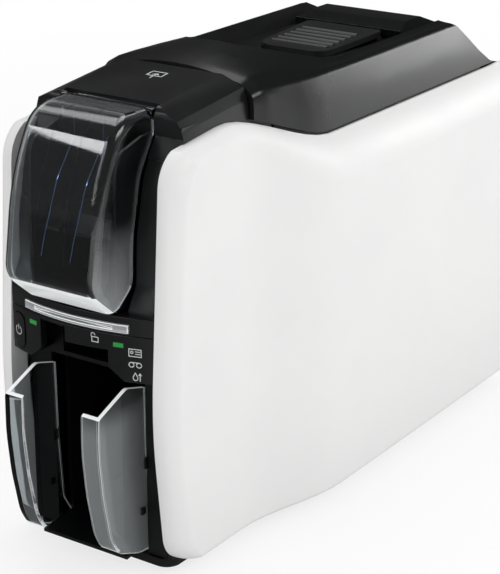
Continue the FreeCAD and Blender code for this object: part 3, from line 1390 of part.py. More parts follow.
def ribbon_film():
    """Span of ribbon between the spools, led down under the print head."""
    half = card_width / 2 - plate
    low = path_z + wall - film_thick / 2
    drop_y0, drop_y1 = head_front_y - overrun, head_back_y + overrun
    t = film_thick
    upper = [(takeup_y, spool_z - takeup_radius - fit), (drop_y0, low + t), (drop_y1, low + t),
             (supply_y, spool_z - supply_radius - fit)]
    lower = [(supply_y, spool_z - supply_radius - fit - t), (drop_y1, low), (drop_y0, low),
             (takeup_y, spool_z - takeup_radius - fit - t)]
    return slab_x(upper + lower, -half, half)


head_half = 27.0
head_rise = 4.2
head_low_z = path_z + head_rise
head_height = 12.0
arm_thick = 3.0
head_gap = 0.3


def print_head():
    """Thermal print head: a finned block with a bevelled lower edge."""
    low, high = head_low_z, head_low_z + head_height
    points = [(head_front_y + plate, low), (head_back_y - 2 * plate, low), (head_back_y, low + 2 * plate),
              (head_back_y, high), (head_front_y, high), (head_front_y, low + plate)]
    body = slab_x(points, -head_half, head_half)
    pitch = 3 * plate
    count = int((head_back_y - head_front_y) / pitch)
    for i in range(count):
        y = head_front_y + pitch * (i + 0.5)
        body = body.cut(box(-head_half + plate, head_half - plate, y, y + plate, high - plate, high + fit))
    return body


def head_bracket():
    """Bracket that hangs the print head from the top cover: two arms and a plate under the crown."""
    top_z = trough_floor_z - wall - head_gap
    y0, y1 = head_front_y, head_back_y
    low = head_low_z + head_height + fit
    parts = [box(-head_half, head_half, y0, y1, top_z - arm_thick, top_z),
             box(-head_half, head_half, y0, y1, low, low + arm_thick)]
    for side in (-1, 1):
        a, b = sorted((side * head_half, side * (head_half - arm_thick)))
        parts.append(slab_x([(y0, low), (y1, low), (y1, top_z), (y0, top_z)], a, b))
    return fused(parts)


# Rear and inside

rear_cover_thick = 3.0
rear_cover_front_y = frame_back_y + fit
rear_high_z = top_rear_z - 2 * fit
vent_rows = 9
vent_pitch = 7.0
vent_height = 3.0
vent_half = 34.0
vent_drop = 34.0                  # lowest slot below the path
vent_low_z = path_z - vent_drop
port_low_z = 22.0
port_high_z = 38.0
inlet_x = -38.0
inlet_half = 6.0
usb_x = -12.0
usb_half = 6.6
network_x = 14.0
network_half = 8.4
port_depth = 14.0
ports = [("dc_inlet", inlet_x, inlet_half), ("usb_socket", usb_x, usb_half), ("network_socket", network_x, network_half)]


def rear_cover():
    """Rear wall between the panels: louvre slots, a port recess and a top flange behind the top cover."""
    half = core_rear_half - fit / 2
    y0 = rear_cover_front_y
    y1 = y0 + rear_cover_thick
    wall_solid = box(-half, half, y0, y1, skirt_z + fit, rear_high_z)
    flange = box(-half, half, lid_back_y + 2 * fit + fit, y0 + fit, rear_high_z - plate, rear_high_z)
    shell = wall_solid.fuse(flange)
    for i in range(vent_rows):
        z = vent_low_z + i * vent_pitch
        shell = shell.cut(box(-vent_half, vent_half, y0 - fit, y1 + fit, z, z + vent_height))
    for _, x, half_x in ports:
        shell = shell.cut(box(x - half_x - fit, x + half_x + fit, y0 - fit, y1 + fit, port_low_z - fit, port_high_z + fit))
    return shell.removeSplitter()


def port(x, half_x):
    """Socket shell behind the rear cover with its plug opening."""
    y1 = rear_cover_front_y + rear_cover_thick - fit
    y0 = y1 - port_depth
    block = box(x - half_x, x + half_x, y0, y1, port_low_z, port_high_z)
    edge = plate / 2
    mouth = box(x - half_x + edge, x + half_x - edge, y0 + 2 * edge, y1 + fit, port_low_z + edge, port_high_z - edge)
    tongue = box(x - half_x / 2, x + half_x / 2, y0 + edge, y1 - 2 * plate, (port_low_z + port_high_z) / 2 - edge,
                 (port_low_z + port_high_z) / 2 + edge)
    return block.cut(mouth).fuse(tongue).removeSplitter()


board_z = 14.0
board_thick = 1.6
board_front_y = along("board_front")


def main_board():
    """Circuit board over the base, on four posts, with its tall parts."""
    half = core_nose_half - overrun
    back_y = rear_cover_front_y - port_depth - wall
    board = box(-half, half, board_front_y, back_y, board_z, board_z + board_thick)
    parts = [board]
    for x in (-half + overrun, half - overrun):
        for y in (board_front_y + overrun, back_y - overrun):
            parts.append(post(x, y, skirt_z + fit, board_z + fit, shaft_radius))
    chip = 2 * overrun
    middle_y = (board_front_y + back_y) / 2
    parts.append(box(-chip, chip, middle_y - chip, middle_y + chip, board_z + board_thick - fit, board_z + overrun))
    for i in range(3):
        parts.append(post(-half + 2 * overrun, board_front_y + (3 + 2 * i) * overrun, board_z, board_z + 2 * overrun,
                          foot_sole))
    return fused(parts)


liner_rise = 22.0                 # over the path
liner_z = path_z + liner_rise
liner_thick = 2.0
liner_front_y = along("liner_front")
liner_hole_half = transport_inner_half + transport_plate + fit


def bay_liner():
    """Tray round the ribbon bay that hides the works when the top cover is open."""
    inset = frame_plate + fit
    back_y = lid_axis_y - 2 * overrun
    sheet = slab_z(core_plan(inset, liner_front_y, back_y), liner_z, liner_z + liner_thick)
    hole = box(-liner_hole_half, liner_hole_half, liner_front_y - fit, transport_back_y + fit, liner_z - fit,
               liner_z + liner_thick + fit)
    return sheet.cut(hole)


def hinge_bracket(side):
    """Fixed ear of the top cover's hinge, with its pin, on the side frame."""
    inner = lid_boss_x - lid_boss_width / 2 - fit
    outer = lid_boss_x + lid_boss_width / 2 + fit
    ear_thick = wall
    reach = lid_boss
    frame_x = core_rear_half - frame_plate - fit
    ear = slab_x([(lid_axis_y - reach, liner_z + overrun), (lid_axis_y + reach, liner_z + overrun),
                  (lid_axis_y + reach, lid_axis_z, fit), (lid_axis_y + lid_pin_radius + plate / 2, lid_axis_z + plate),
                  (lid_axis_y - lid_pin_radius - plate / 2, lid_axis_z + plate), (lid_axis_y - reach, lid_axis_z, fit)],
                 outer, outer + ear_thick)
    foot_block = box(outer, frame_x, lid_axis_y - reach, lid_axis_y + reach, liner_z + overrun, lid_axis_z - 3 * overrun)
    pin = rod(inner, outer + fit, lid_axis_y, lid_axis_z, lid_pin_radius)
    solid = fused([ear, foot_block, pin])
    return solid if side > 0 else mirrored(solid)


def place_both(name, shape):
    """The right-hand piece and its mirror image, by name."""
    return {name + "_right": shape, name + "_left": mirrored(shape)}


def build():
    """All pieces of the printer by name."""
    pieces = {"base_tray": base_tray(), "front_frame": front_frame(), "rear_cover": rear_cover()}
    for name, x, y in (("front", foot_front_x, foot_front_y), ("back", foot_back_x, foot_back_y)):
        pieces["foot_" + name + "_right"] = foot(x, y)
        pieces["foot_" + name + "_left"] = foot(-x, y)
    pieces.update(place_both("side_frame", frame_side()))
    pieces.update(place_both("side_panel", side_panel()))
    for name, x, half_x in ports:
        pieces[name] = port(x, half_x)
    pieces["front_cover"] = front_cover()
    pieces["upper_bezel"] = upper_bezel()
    pieces["lower_bezel"] = lower_bezel()
    pieces["feed_slot_bar"] = feed_slot_bar()
    pieces["led_lens_right"] = led_lens(led_x)
    pieces["led_lens_left"] = led_lens(-led_x)
    pieces["power_button"] = power_button()
    pieces["input_door"] = input_door()
    pieces["door_fin_right"] = door_fin(fin_x)
    pieces["door_fin_left"] = door_fin(-fin_x)
    pieces["input_hopper"] = input_hopper()
    pieces["card_weight"] = card_weight()
    pieces["output_wing_right"] = wing(1)
    pieces["output_wing_left"] = wing(-1)
    pieces["output_tray"] = output_tray()
    pieces["output_bin"] = output_bin()
    pieces["transport_plate_right"] = transport_plate_side()
    pieces["transport_plate_left"] = transport_plate_left()
    for name, y, radius in path_rollers:
        geared = name == "platen_roller"
        pieces[name] = roller(y, roller_axis_z, radius, True, name == "pick_roller", geared)
    pieces["exit_roller"] = roller(exit_axis_y, exit_axis_z, roller_radius - fit, False, True, False)
    pieces["drive_belt"] = belt(pick_axis_y, roller_axis_z, rear_roller_y, roller_axis_z, pulley_x)
    pieces["exit_belt"] = belt(pick_axis_y, roller_axis_z, exit_axis_y, exit_axis_z, left_pulley_x)
    pieces["drive_motor"] = drive_motor()
    pieces["motor_pinion"] = motor_pinion()
    pieces["ribbon_cartridge"] = ribbon_cartridge()
    pieces["supply_spool"] = spool(supply_y, supply_radius)
    pieces["takeup_spool"] = spool(takeup_y, takeup_radius)
    pieces["ribbon_film"] = ribbon_film()
    pieces["main_board"] = main_board()
    pieces["bay_liner"] = bay_liner()
    pieces["hinge_ear_right"] = hinge_bracket(1)
    pieces["hinge_ear_left"] = hinge_bracket(-1)
    pieces["lid_shell"] = fused([lid_shell()] + pad_pin_bosses())
    pieces["lid_deck"] = lid_deck()
    pieces["latch_pad"] = latch_pad()
    pieces["head_bracket"] = head_bracket()
    pieces["print_head"] = print_head()
    return pieces


os.makedirs("parts", exist_ok=True)
for name, shape in build().items():
    shape.exportStep("parts/" + name + ".step")
    print(name, round(shape.Volume), "mm3")
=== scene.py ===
# %% [markdown]
# A desktop printer for plastic cards, dressed for its picture. The solids of the printer come from
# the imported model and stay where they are. This script gives each of them the finish of the real
# piece, adds the small printed signs and fasteners, and sets up the floor, the light and the camera.

import json
import math

import bmesh
import bpy
from mathutils import Matrix, Vector
from mathutils.bvhtree import BVHTree


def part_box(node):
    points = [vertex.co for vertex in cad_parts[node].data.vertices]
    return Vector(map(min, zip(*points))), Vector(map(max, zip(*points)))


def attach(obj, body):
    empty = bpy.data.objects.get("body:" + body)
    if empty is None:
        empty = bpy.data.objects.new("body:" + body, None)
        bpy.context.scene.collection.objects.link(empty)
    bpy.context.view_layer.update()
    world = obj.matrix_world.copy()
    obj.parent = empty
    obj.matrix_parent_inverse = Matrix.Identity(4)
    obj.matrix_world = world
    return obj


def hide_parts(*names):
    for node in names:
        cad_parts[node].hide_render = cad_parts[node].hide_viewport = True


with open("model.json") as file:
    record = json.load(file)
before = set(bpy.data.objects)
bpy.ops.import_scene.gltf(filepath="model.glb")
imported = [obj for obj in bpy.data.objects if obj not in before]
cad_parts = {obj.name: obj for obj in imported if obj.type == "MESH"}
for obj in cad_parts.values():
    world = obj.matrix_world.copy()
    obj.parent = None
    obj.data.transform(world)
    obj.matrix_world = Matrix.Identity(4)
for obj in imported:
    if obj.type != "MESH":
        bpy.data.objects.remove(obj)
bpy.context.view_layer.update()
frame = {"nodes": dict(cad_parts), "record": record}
mm = 0.001

# %% [markdown]
# Colours are written as they would be picked on a screen. Blender works in linear light, so one
# function turns the hex value into linear numbers, and a second one adds a shader node together
# with its settings and links. A third starts a material with one Principled shader, whose constant
# settings go on the shader's own sockets. Every finish below is built from these three.


# %% Colour, node and material helpers
def linear(hex_colour):
    """The four linear numbers of an sRGB colour such as #808080."""
    channels = []
    for start in (1, 3, 5):
        value = int(hex_colour[start:start + 2], 16) / 255
        channels.append(value / 12.92 if value <= 0.04045 else ((value + 0.055) / 1.055) ** 2.4)
    return (*channels, 1.0)


def add_node(tree, kind, settings=None, links=None):
    """A node of that kind, with values for its sockets or attributes, and sockets linked to it."""
    node = tree.nodes.new(kind)
    for name, value in (settings or {}).items():
        if isinstance(name, int) or name in node.inputs:
            node.inputs[name].default_value = value
        else:
            setattr(node, name, value)
    for name, socket in (links or {}).items():
        tree.links.new(socket, node.inputs[name])
    return node


def finish(name, surface):
    """A material with one Principled shader, whose constant settings are given by name."""
    material = bpy.data.materials.new(name)
    material.use_nodes = True
    tree = material.node_tree
    shader = tree.nodes["Principled BSDF"]
    for key, value in surface.items():
        shader.inputs[key].default_value = value
    return material, tree, shader


print("#808080 in linear light:", round(linear("#808080")[0], 3))

# %% [markdown]
# The side shells are moulded in satin white ABS. Such plastic is never mirror smooth: the mould is
# spark eroded, which leaves a grain of a few tenths of a millimetre, and the part cools unevenly, so
# its gloss drifts a little over centimetres. A picture of the grain could be laid on, but it would
# stretch over the curved shells. A fine noise in the piece's own coordinates doesn't: it drives a
# bump, and a broad noise drives the roughness and the shade of the colour. The real grain is finer
# than a pixel of the picture, so it is drawn about twice as coarse, at 0.6 to 1.2 mm.

# %% Moulded plastic
mix_from, mix_to, mixed = 6, 7, 2      # the colour sockets of a Mix node: two inputs, one output


def moulded(name, colour, shade, roughness, grain_mm, grain_depth_mm, coat=0.0, gloss_drift=0.06):
    """Spark-eroded thermoplastic: a main colour, a slightly different shade, grain size and depth."""
    patch_mm = 60
    material, tree, shader = finish(name, {"IOR": 1.53, "Coat Weight": coat, "Coat Roughness": 0.12})
    place = add_node(tree, "ShaderNodeTexCoord")
    broad = add_node(tree, "ShaderNodeTexNoise", {"Scale": 1 / (patch_mm * mm), "Detail": 3.0},
                     {"Vector": place.outputs["Object"]})
    mix = add_node(tree, "ShaderNodeMix",
                   {"data_type": "RGBA", mix_from: linear(colour), mix_to: linear(shade)},
                   {"Factor": broad.outputs["Fac"]})
    drift = add_node(tree, "ShaderNodeMapRange",
                     {"From Min": 0.3, "From Max": 0.7,
                      "To Min": roughness - gloss_drift, "To Max": roughness + gloss_drift},
                     {"Value": broad.outputs["Fac"]})
    grain = add_node(tree, "ShaderNodeTexNoise", {"Scale": 1 / (grain_mm * mm), "Detail": 2.0},
                     {"Vector": place.outputs["Object"]})
    bump = add_node(tree, "ShaderNodeBump", {"Strength": 0.35, "Distance": grain_depth_mm * mm},
                    {"Height": grain.outputs["Fac"]})
    tree.links.new(mix.outputs[mixed], shader.inputs["Base Color"])
    tree.links.new(drift.outputs["Result"], shader.inputs["Roughness"])
    tree.links.new(bump.outputs["Normal"], shader.inputs["Normal"])
    return material


white_abs = moulded("white_abs_satin", "#F0F0EF", "#E9E9E9", 0.42, 0.7, 0.02)
print("side shells:", white_abs.name)

# %% [markdown]
# The blacks differ in gloss more than in colour: the covers are satin with a thin sheen on top, the
# frame behind them is matt, the deck of the top cover is polished, and the rear wall and the latch
# pad are a coarser charcoal. The ribbon cartridge is pale grey, and the power inlet is black nylon.

# %% Other plastics of the printer
black_abs = moulded("black_abs_satin", "#101112", "#151617", 0.3, 0.7, 0.02, coat=0.15)
frame_abs = moulded("black_abs_frame", "#0A0A0B", "#0E0E0F", 0.5, 0.8, 0.03)
gloss_abs = moulded("black_abs_polished", "#0B0C0D", "#0F1011", 0.14, 1.2, 0.004, coat=0.3, gloss_drift=0.03)
charcoal_abs = moulded("charcoal_abs_grained", "#1A1B1D", "#202123", 0.38, 0.9, 0.04)
tray_abs = moulded("black_abs_tray", "#0B0C0D", "#101113", 0.4, 0.8, 0.03)
grey_abs = moulded("pale_grey_abs", "#B9BBBD", "#AFB1B4", 0.42, 0.8, 0.03)
socket_abs = moulded("socket_black_nylon", "#151515", "#1A1A1A", 0.5, 0.6, 0.03)
other_plastics = (black_abs, frame_abs, gloss_abs, charcoal_abs, tray_abs, grey_abs, socket_abs)
print("other plastics:", ", ".join(plastic.name for plastic in other_plastics))

# %% [markdown]
# The door and the output wings are injection-moulded clear polycarbonate. Light passes through and
# bends at both faces of the wall, so the solid's real thickness does most of the work by itself. A
# trace of grey in the colour gives the smoky look of thick plastic, and a patchy roughness the haze
# of handling. Clarity below 1 lets a share of the light scatter instead, as a milky plastic does.


# %% Clear polycarbonate
def clear_polycarbonate(name, colour, roughness, clarity=1.0):
    """Clear plastic; below 1, clarity leaves that much less of the light to pass and scatters the rest."""
    haze_mm, haze_roughness = 25, 0.04
    material, tree, shader = finish(name, {"Base Color": linear(colour), "Transmission Weight": clarity,
                                           "IOR": 1.45, "Coat Weight": 0.25, "Coat Roughness": 0.04})
    place = add_node(tree, "ShaderNodeTexCoord")
    haze = add_node(tree, "ShaderNodeTexNoise", {"Scale": 1 / (haze_mm * mm), "Detail": 2.0},
                    {"Vector": place.outputs["Object"]})
    wear = add_node(tree, "ShaderNodeMapRange", {"To Min": roughness, "To Max": roughness + haze_roughness},
                    {"Value": haze.outputs["Fac"]})
    tree.links.new(wear.outputs["Result"], shader.inputs["Roughness"])
    return material


clear_pc = clear_polycarbonate("clear_polycarbonate", "#EEF2F4", 0.02)
wing_pc = clear_polycarbonate("clear_polycarbonate_wing", "#E4E9EB", 0.03)
left_wing_pc = clear_polycarbonate("clear_polycarbonate_left_wing", "#E4E9EB", 0.03)
# painted highlight: the rims of clear pieces get a pale white that lets little light through
edge_highlight_pc = clear_polycarbonate("polycarbonate_edge_painted_highlight", "#FAFCFC", 0.12, clarity=0.2)
blue_pc = clear_polycarbonate("blue_tinted_polycarbonate", "#6C8CC2", 0.05)
cheek_pc = clear_polycarbonate("clear_polycarbonate_cheek", "#EEF2F4", 0.03)
bar_pc = clear_polycarbonate("clear_slot_bar", "#EEF1F2", 0.1, clarity=0.7)
clear_plastics = (clear_pc, wing_pc, left_wing_pc, edge_highlight_pc, blue_pc, cheek_pc, bar_pc)
print("clear plastics:", ", ".join(plastic.name for plastic in clear_plastics))

# %% [markdown]
# A clear wall pipes light to its edge, which looks brighter than what is round it. Tracing that light takes far
# more samples than a picture has, so the edge gets a painted highlight instead: a pale white that lets little
# light through, and a faint emission.

# %% Painted glow in the clear edges
edge_strength = 0.2
edge_shader = edge_highlight_pc.node_tree.nodes["Principled BSDF"]
edge_shader.inputs["Emission Color"].default_value = linear("#F4F8FA")
edge_shader.inputs["Emission Strength"].default_value = edge_strength
print(edge_highlight_pc.name, "glows at", edge_strength)

# %% [markdown]
# The lower part of the right wing and of the door's cheeks goes from clear to slightly milky, a painted
# reflection of the pale floor below them. The height at which that happens is in metres above the table, and
# drives the shader's transmission.


# %% Milky lower parts, a painted reflection of the floor
def painted_reflection_below(material, low_z, high_z, low_clarity, high_clarity):
    """Clarity goes from the low value at low_z to the high one at high_z."""
    tree = material.node_tree
    place = add_node(tree, "ShaderNodeTexCoord")
    axes = add_node(tree, "ShaderNodeSeparateXYZ", None, {"Vector": place.outputs["Object"]})
    clarity = add_node(tree, "ShaderNodeMapRange",
                       {"From Min": low_z, "From Max": high_z, "To Min": low_clarity, "To Max": high_clarity},
                       {"Value": axes.outputs["Z"]})
    tree.links.new(clarity.outputs["Result"], tree.nodes["Principled BSDF"].inputs["Transmission Weight"])
    print(material.name, "is milky below", round(low_z / mm), "mm and clear above", round(high_z / mm), "mm")


# painted reflection: the plastic turns milky low down, where the floor would be mirrored
painted_reflection_below(wing_pc, 0.096, 0.108, 0.8, 0.96)
painted_reflection_below(cheek_pc, 0.17, 0.21, 0.78, 1.0)

# %% [markdown]
# Inside the printer there are metals. Sheet steel is rolled before it is plated, which leaves fine
# streaks along its length: a noise that is stretched 25 times along the printer's depth. The same
# streaks, shorter, stand for the marks of turning on gears and for the brushed head.


# %% Metals
def rolled_metal(name, colour, roughness, streak_mm):
    """Bare or plated metal with streaks along the depth, each about streak_mm across."""
    streak_stretch, dark_share = 0.04, 0.8
    dark = (*(channel * dark_share for channel in linear(colour)[:3]), 1.0)
    material, tree, shader = finish(name, {"Metallic": 1.0})
    place = add_node(tree, "ShaderNodeTexCoord")
    stretch = add_node(tree, "ShaderNodeMapping", {"Scale": (1.0, streak_stretch, 1.0)},
                       {"Vector": place.outputs["Object"]})
    streak = add_node(tree, "ShaderNodeTexNoise", {"Scale": 1 / (streak_mm * mm), "Detail": 2.0},
                      {"Vector": stretch.outputs["Vector"]})
    tone = add_node(tree, "ShaderNodeMix", {"data_type": "RGBA", mix_from: linear(colour), mix_to: dark},
                    {"Factor": streak.outputs["Fac"]})
    rough = add_node(tree, "ShaderNodeMapRange", {"To Min": roughness - 0.06, "To Max": roughness + 0.08},
                     {"Value": streak.outputs["Fac"]})
    tree.links.new(tone.outputs[mixed], shader.inputs["Base Color"])
    tree.links.new(rough.outputs["Result"], shader.inputs["Roughness"])
    return material


zinc_steel = rolled_metal("zinc_plated_steel", "#B4B6B8", 0.32, 1.2)
gear_steel = rolled_metal("machined_gear_steel", "#9C9A92", 0.28, 0.6)
anodised = rolled_metal("clear_anodised_aluminium", "#C9CACC", 0.3, 0.8)
print("metals:", ", ".join(metal.name for metal in (zinc_steel, gear_steel, anodised)))

# %% [markdown]
# Rubber is moulded too, but matt. The cleaning roller has a soft tacky cover, which is red on real
# ones. The ribbon is a smooth dark film, and the circuit board has green solder mask over copper.

# %% Rubbers, ribbon and board
rubber = moulded("moulded_black_rubber", "#1A1A1A", "#202020", 0.7, 0.9, 0.05)
tacky_rubber = moulded("tacky_red_rubber", "#A8323A", "#9C2C34", 0.5, 0.9, 0.03)
ribbon_film_black = moulded("ribbon_film_black", "#17171C", "#1E1E26", 0.3, 2.0, 0.01)
solder_mask = moulded("green_solder_mask", "#0E3D22", "#114628", 0.35, 0.8, 0.02)
print("soft and dark:", ", ".join(item.name for item in (rubber, tacky_rubber, ribbon_film_black, solder_mask)))

# %% [markdown]
# The two status lights are small light pipes in front of green diodes. A lamp behind each would be
# lost in so small a lens, so a weak emission shows them lit without lighting the bezel round them.

# %% Status light
led_strength = 0.3
led_green = finish("green_light_pipe", {"Base Color": linear("#1F5A2C"), "Roughness": 0.3,
                                        "Emission Color": linear("#3FC257"),
                                        "Emission Strength": led_strength})[0]
print(led_green.name, "glows at", led_strength)

# %% [markdown]
# Each solid keeps its place and its mesh and only gets its finish here. The record's slots already say which
# solids share a finish, so the table below goes from slot to material. The wings share the door's slot, but are
# moulded a little less clear, and only the right one has the milky lower part that paints the floor's
# reflection.

# %% Finishes by slot
finish_of_slot = {
    "white_shell": white_abs, "satin_black": black_abs, "gloss_black": gloss_abs, "charcoal": charcoal_abs,
    "frame_black": frame_abs, "tray_black": tray_abs, "tray_grey": grey_abs, "clear": clear_pc,
    "blue_tint": blue_pc, "slot_bar": bar_pc, "led_green": led_green, "foot_rubber": rubber,
    "belt_rubber": rubber, "roller_rubber": rubber, "roller_cleaning": tacky_rubber,
    "plate_steel": zinc_steel, "gear_steel": gear_steel, "head_aluminium": anodised,
    "ribbon": ribbon_film_black, "board_green": solder_mask, "socket_black": socket_abs,
    "socket_metal": zinc_steel}
finish_of_wing = {"output_wing_right": wing_pc, "output_wing_left": left_wing_pc}
slot_of_node = {part["node"]: part["material_slot"] for part in frame["record"]["subparts"]}
body_of_node = {node: body for body, nodes in frame["record"]["behaviour"]["bodies"].items() for node in nodes}


def finish_of_node(node_name):
    """The wing's own finish, or else the slot's."""
    return finish_of_wing.get(node_name) or finish_of_slot[slot_of_node[node_name]]


for node_name, solid in frame["nodes"].items():
    solid.data.materials.clear()
    solid.data.materials.append(finish_of_node(node_name))
print("finished solids:", len(slot_of_node))

# %% [markdown]
# Two helpers put a shape in the scene. A bmesh is Blender's workbench for a mesh: it is shaped with
# operators, then written to a mesh and freed. The object stays at the origin, with its place in its
# mesh, as the solids have it.


# %% Meshes and objects
def mesh_from(shape, name, *materials):
    """Writes a bmesh to a mesh with these materials and frees it."""
    data = bpy.data.meshes.new(name)
    shape.to_mesh(data)
    shape.free()
    for material in materials:
        data.materials.append(material)
    return data


def new_object(name, data):
    """An object at the origin, linked to the scene."""
    item = bpy.data.objects.new(name, data)
    bpy.context.scene.collection.objects.link(item)
    return item


# %% [markdown]
# The large mouldings are lofted from flat strips. A merged copy of each, with its strips shaded as
# one skin and only its true corners kept sharp, stands in for the solid in the picture. The copy has
# the same points. On the wings, facets that lie in one plane are joined first, so that a long narrow
# face is a real edge of the wall and no sliver of a broad face.

# %% Merged copies of the mouldings
# Each piece has the angle past which a corner is sharp, and how far its sharp edges are eased, in mm.
mouldings = {
    "side_panel_right": (40, 0.0), "side_panel_left": (40, 0.0), "lid_shell": (34, 0.0),
    "front_cover": (34, 0.3), "upper_bezel": (34, 0.3), "lower_bezel": (34, 0.25),
    "input_door": (34, 0.5), "latch_pad": (34, 0.3), "output_wing_right": (40, 0.8),
    "output_wing_left": (40, 0.8), "power_button": (34, 0.3), "feed_slot_bar": (40, 0.4),
    "lid_deck": (34, 0.5)}


def merged_copy(node_name):
    """The solid's mesh with its triangles joined at their corners."""
    merge_mm, flat_deg = 0.005, 1
    skin = bmesh.new()
    skin.from_mesh(frame["nodes"][node_name].data)
    bmesh.ops.remove_doubles(skin, verts=skin.verts, dist=merge_mm * mm)
    bmesh.ops.dissolve_degenerate(skin, edges=skin.edges, dist=merge_mm * mm)
    bmesh.ops.recalc_face_normals(skin, faces=skin.faces)
    if node_name.startswith("output_wing"):
        bmesh.ops.dissolve_limit(skin, angle_limit=math.radians(flat_deg), verts=skin.verts, edges=skin.edges)
    return skin


skins = {node_name: merged_copy(node_name) for node_name in mouldings}
print("merged copies:", len(skins), "with", sum(len(skin.faces) for skin in skins.values()), "faces")

# %% [markdown]
# A clear piece shows three finishes: its own on the broad faces, the edge finish with its painted highlight on
# the rims of the wings and on the door's lower lip, and the cheek finish on the door's cheeks, milky lower down
# as a painted reflection of the floor. The way that a face looks, its height and its mean width say which of
# them it is.

# %% Which finish a face shows
own_slot, edge_slot, cheek_slot = 0, 1, 2
door_lip_z = 0.175
rim_width_mm = 2.2


def slot_of_face(node_name, face):
    """The place of the face's finish in the list of the piece's materials."""
    if node_name == "input_door":
        looks_down, looks_sideways = face.normal.z < -0.5, abs(face.normal.x) > 0.7
        # the door's lower lip gets the painted highlight
        if looks_down and face.calc_center_median().z < door_lip_z:
            return edge_slot
        return cheek_slot if looks_sideways else own_slot
    if node_name.startswith("output_wing"):
        looks_forward = abs(face.normal.y) >= 0.8
        width_mm = 2 * face.calc_area() / face.calc_perimeter() / mm
        # the narrow rims of the wings get the painted highlight
        return edge_slot if width_mm < rim_width_mm and not looks_forward else own_slot
    return own_slot


for node_name, skin in skins.items():
    for face in skin.faces:
        face.material_index = slot_of_face(node_name, face)
    special = sum(1 for face in skin.faces if face.material_index != own_slot)
    if special:
        print(node_name, special, "faces of", len(skin.faces), "are an edge or a cheek")

# %% [markdown]
# A moulded corner is never knife sharp. The Bevel modifier rounds the corners that are left, which catch the
# light as thin bright lines, and on clear pieces gives them the edge finish, a painted highlight. The Weighted
# Normal modifier then follows the broad faces, so that a narrow rounding doesn't bend the light on the face
# beside it. The shells and the top cover have their roundings in the solid.


# %% Smooth skins for the mouldings
def smooth_skin(node_name, sharp_deg, edge_mm):
    """A smoothly shaded copy of a solid with eased edges, which rides on its body and replaces it."""
    own_finish = finish_of_node(node_name)
    see_through = own_finish in (clear_pc, wing_pc, left_wing_pc, bar_pc)
    skin = skins[node_name]
    for edge in skin.edges:
        edge.smooth = len(edge.link_faces) == 2 and edge.calc_face_angle(math.pi) < math.radians(sharp_deg)
    for face in skin.faces:
        face.smooth = True
    piece = new_object(node_name + "_skin", mesh_from(skin, node_name + "_skin", own_finish))
    if edge_mm:
        eased = piece.modifiers.new("eased_edges", "BEVEL")
        eased.width = edge_mm * mm
        eased.segments = 2
        eased.limit_method = "ANGLE"
        eased.angle_limit = math.radians(sharp_deg)
        if see_through:
            # on clear pieces the eased edges take the painted highlight, and the cheeks the milky finish of
            # painted reflection
            piece.data.materials.append(edge_highlight_pc)
            piece.data.materials.append(cheek_pc)
            eased.material = edge_slot
    even = piece.modifiers.new("even_normals", "WEIGHTED_NORMAL")
    even.keep_sharp = True
    even.weight = 60
    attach(piece, body_of_node[node_name])
    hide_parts(node_name)
    print(piece.name, len(piece.data.polygons), "faces, edges eased by", edge_mm, "mm")


for node_name, (sharp_deg, edge_mm) in mouldings.items():
    smooth_skin(node_name, sharp_deg, edge_mm)

# %% [markdown]
# Each wing is held by two snap clips at its back edge, small black blocks beside the output. A cube
# is stretched between two corners and its edges are bevelled, because a moulded hook has no sharp
# corner either.


# %% Wing clips
def fastener(name, material, shape):
    """A small piece that is fixed to the printer's base."""
    bmesh.ops.recalc_face_normals(shape, faces=shape.faces)
    piece = new_object(name, mesh_from(shape, name, material))
    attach(piece, "printer_base")
    return piece


def clip_block(name, low, high):
    """A block with eased edges between two corners in millimetres."""
    eased_mm = 0.4
    low, high = Vector(low) * mm, Vector(high) * mm
    stretch = Matrix.Translation((low + high) / 2) @ Matrix.Diagonal((*(high - low), 1.0))
    block = bmesh.new()
    bmesh.ops.create_cube(block, size=1.0, matrix=stretch)
    bmesh.ops.bevel(block, geom=block.edges[:], offset=eased_mm * mm, segments=2, profile=0.5,
                    affect="EDGES", material=-1)
    return fastener(name, frame_abs, block)


clip_inner_x, clip_outer_x = 33.1, 34.6
clip_rows = (("upper", (-160.5, 62.0), (-155.5, 69.0)), ("lower", (-164.5, 35.0), (-160.5, 39.0)))
for side_name, side in (("right", 1), ("left", -1)):
    low_x, high_x = sorted((side * clip_inner_x, side * clip_outer_x))
    for row_name, low_yz, high_yz in clip_rows:
        clip = clip_block("wing_clip_" + side_name + "_" + row_name, (low_x, *low_yz), (high_x, *high_yz))
        print(clip.name, len(clip.data.polygons), "faces")

# %% [markdown]
# The rear wall and the floor are screwed on. A screw is a pan head with a cross recess. A square grid
# gives the cells for the cross, and a circle with as many edges as the grid's border is bridged to
# it. Two extrusions of the rim make the chamfer and the wall, and the cross is pushed in. A Boolean
# would cut the cross as well, but it leaves long thin faces.

# %% Screw heads
top_mm, shoulder_mm, foot_mm, recess_mm = 0.7, 0.28, -0.3, 0.6


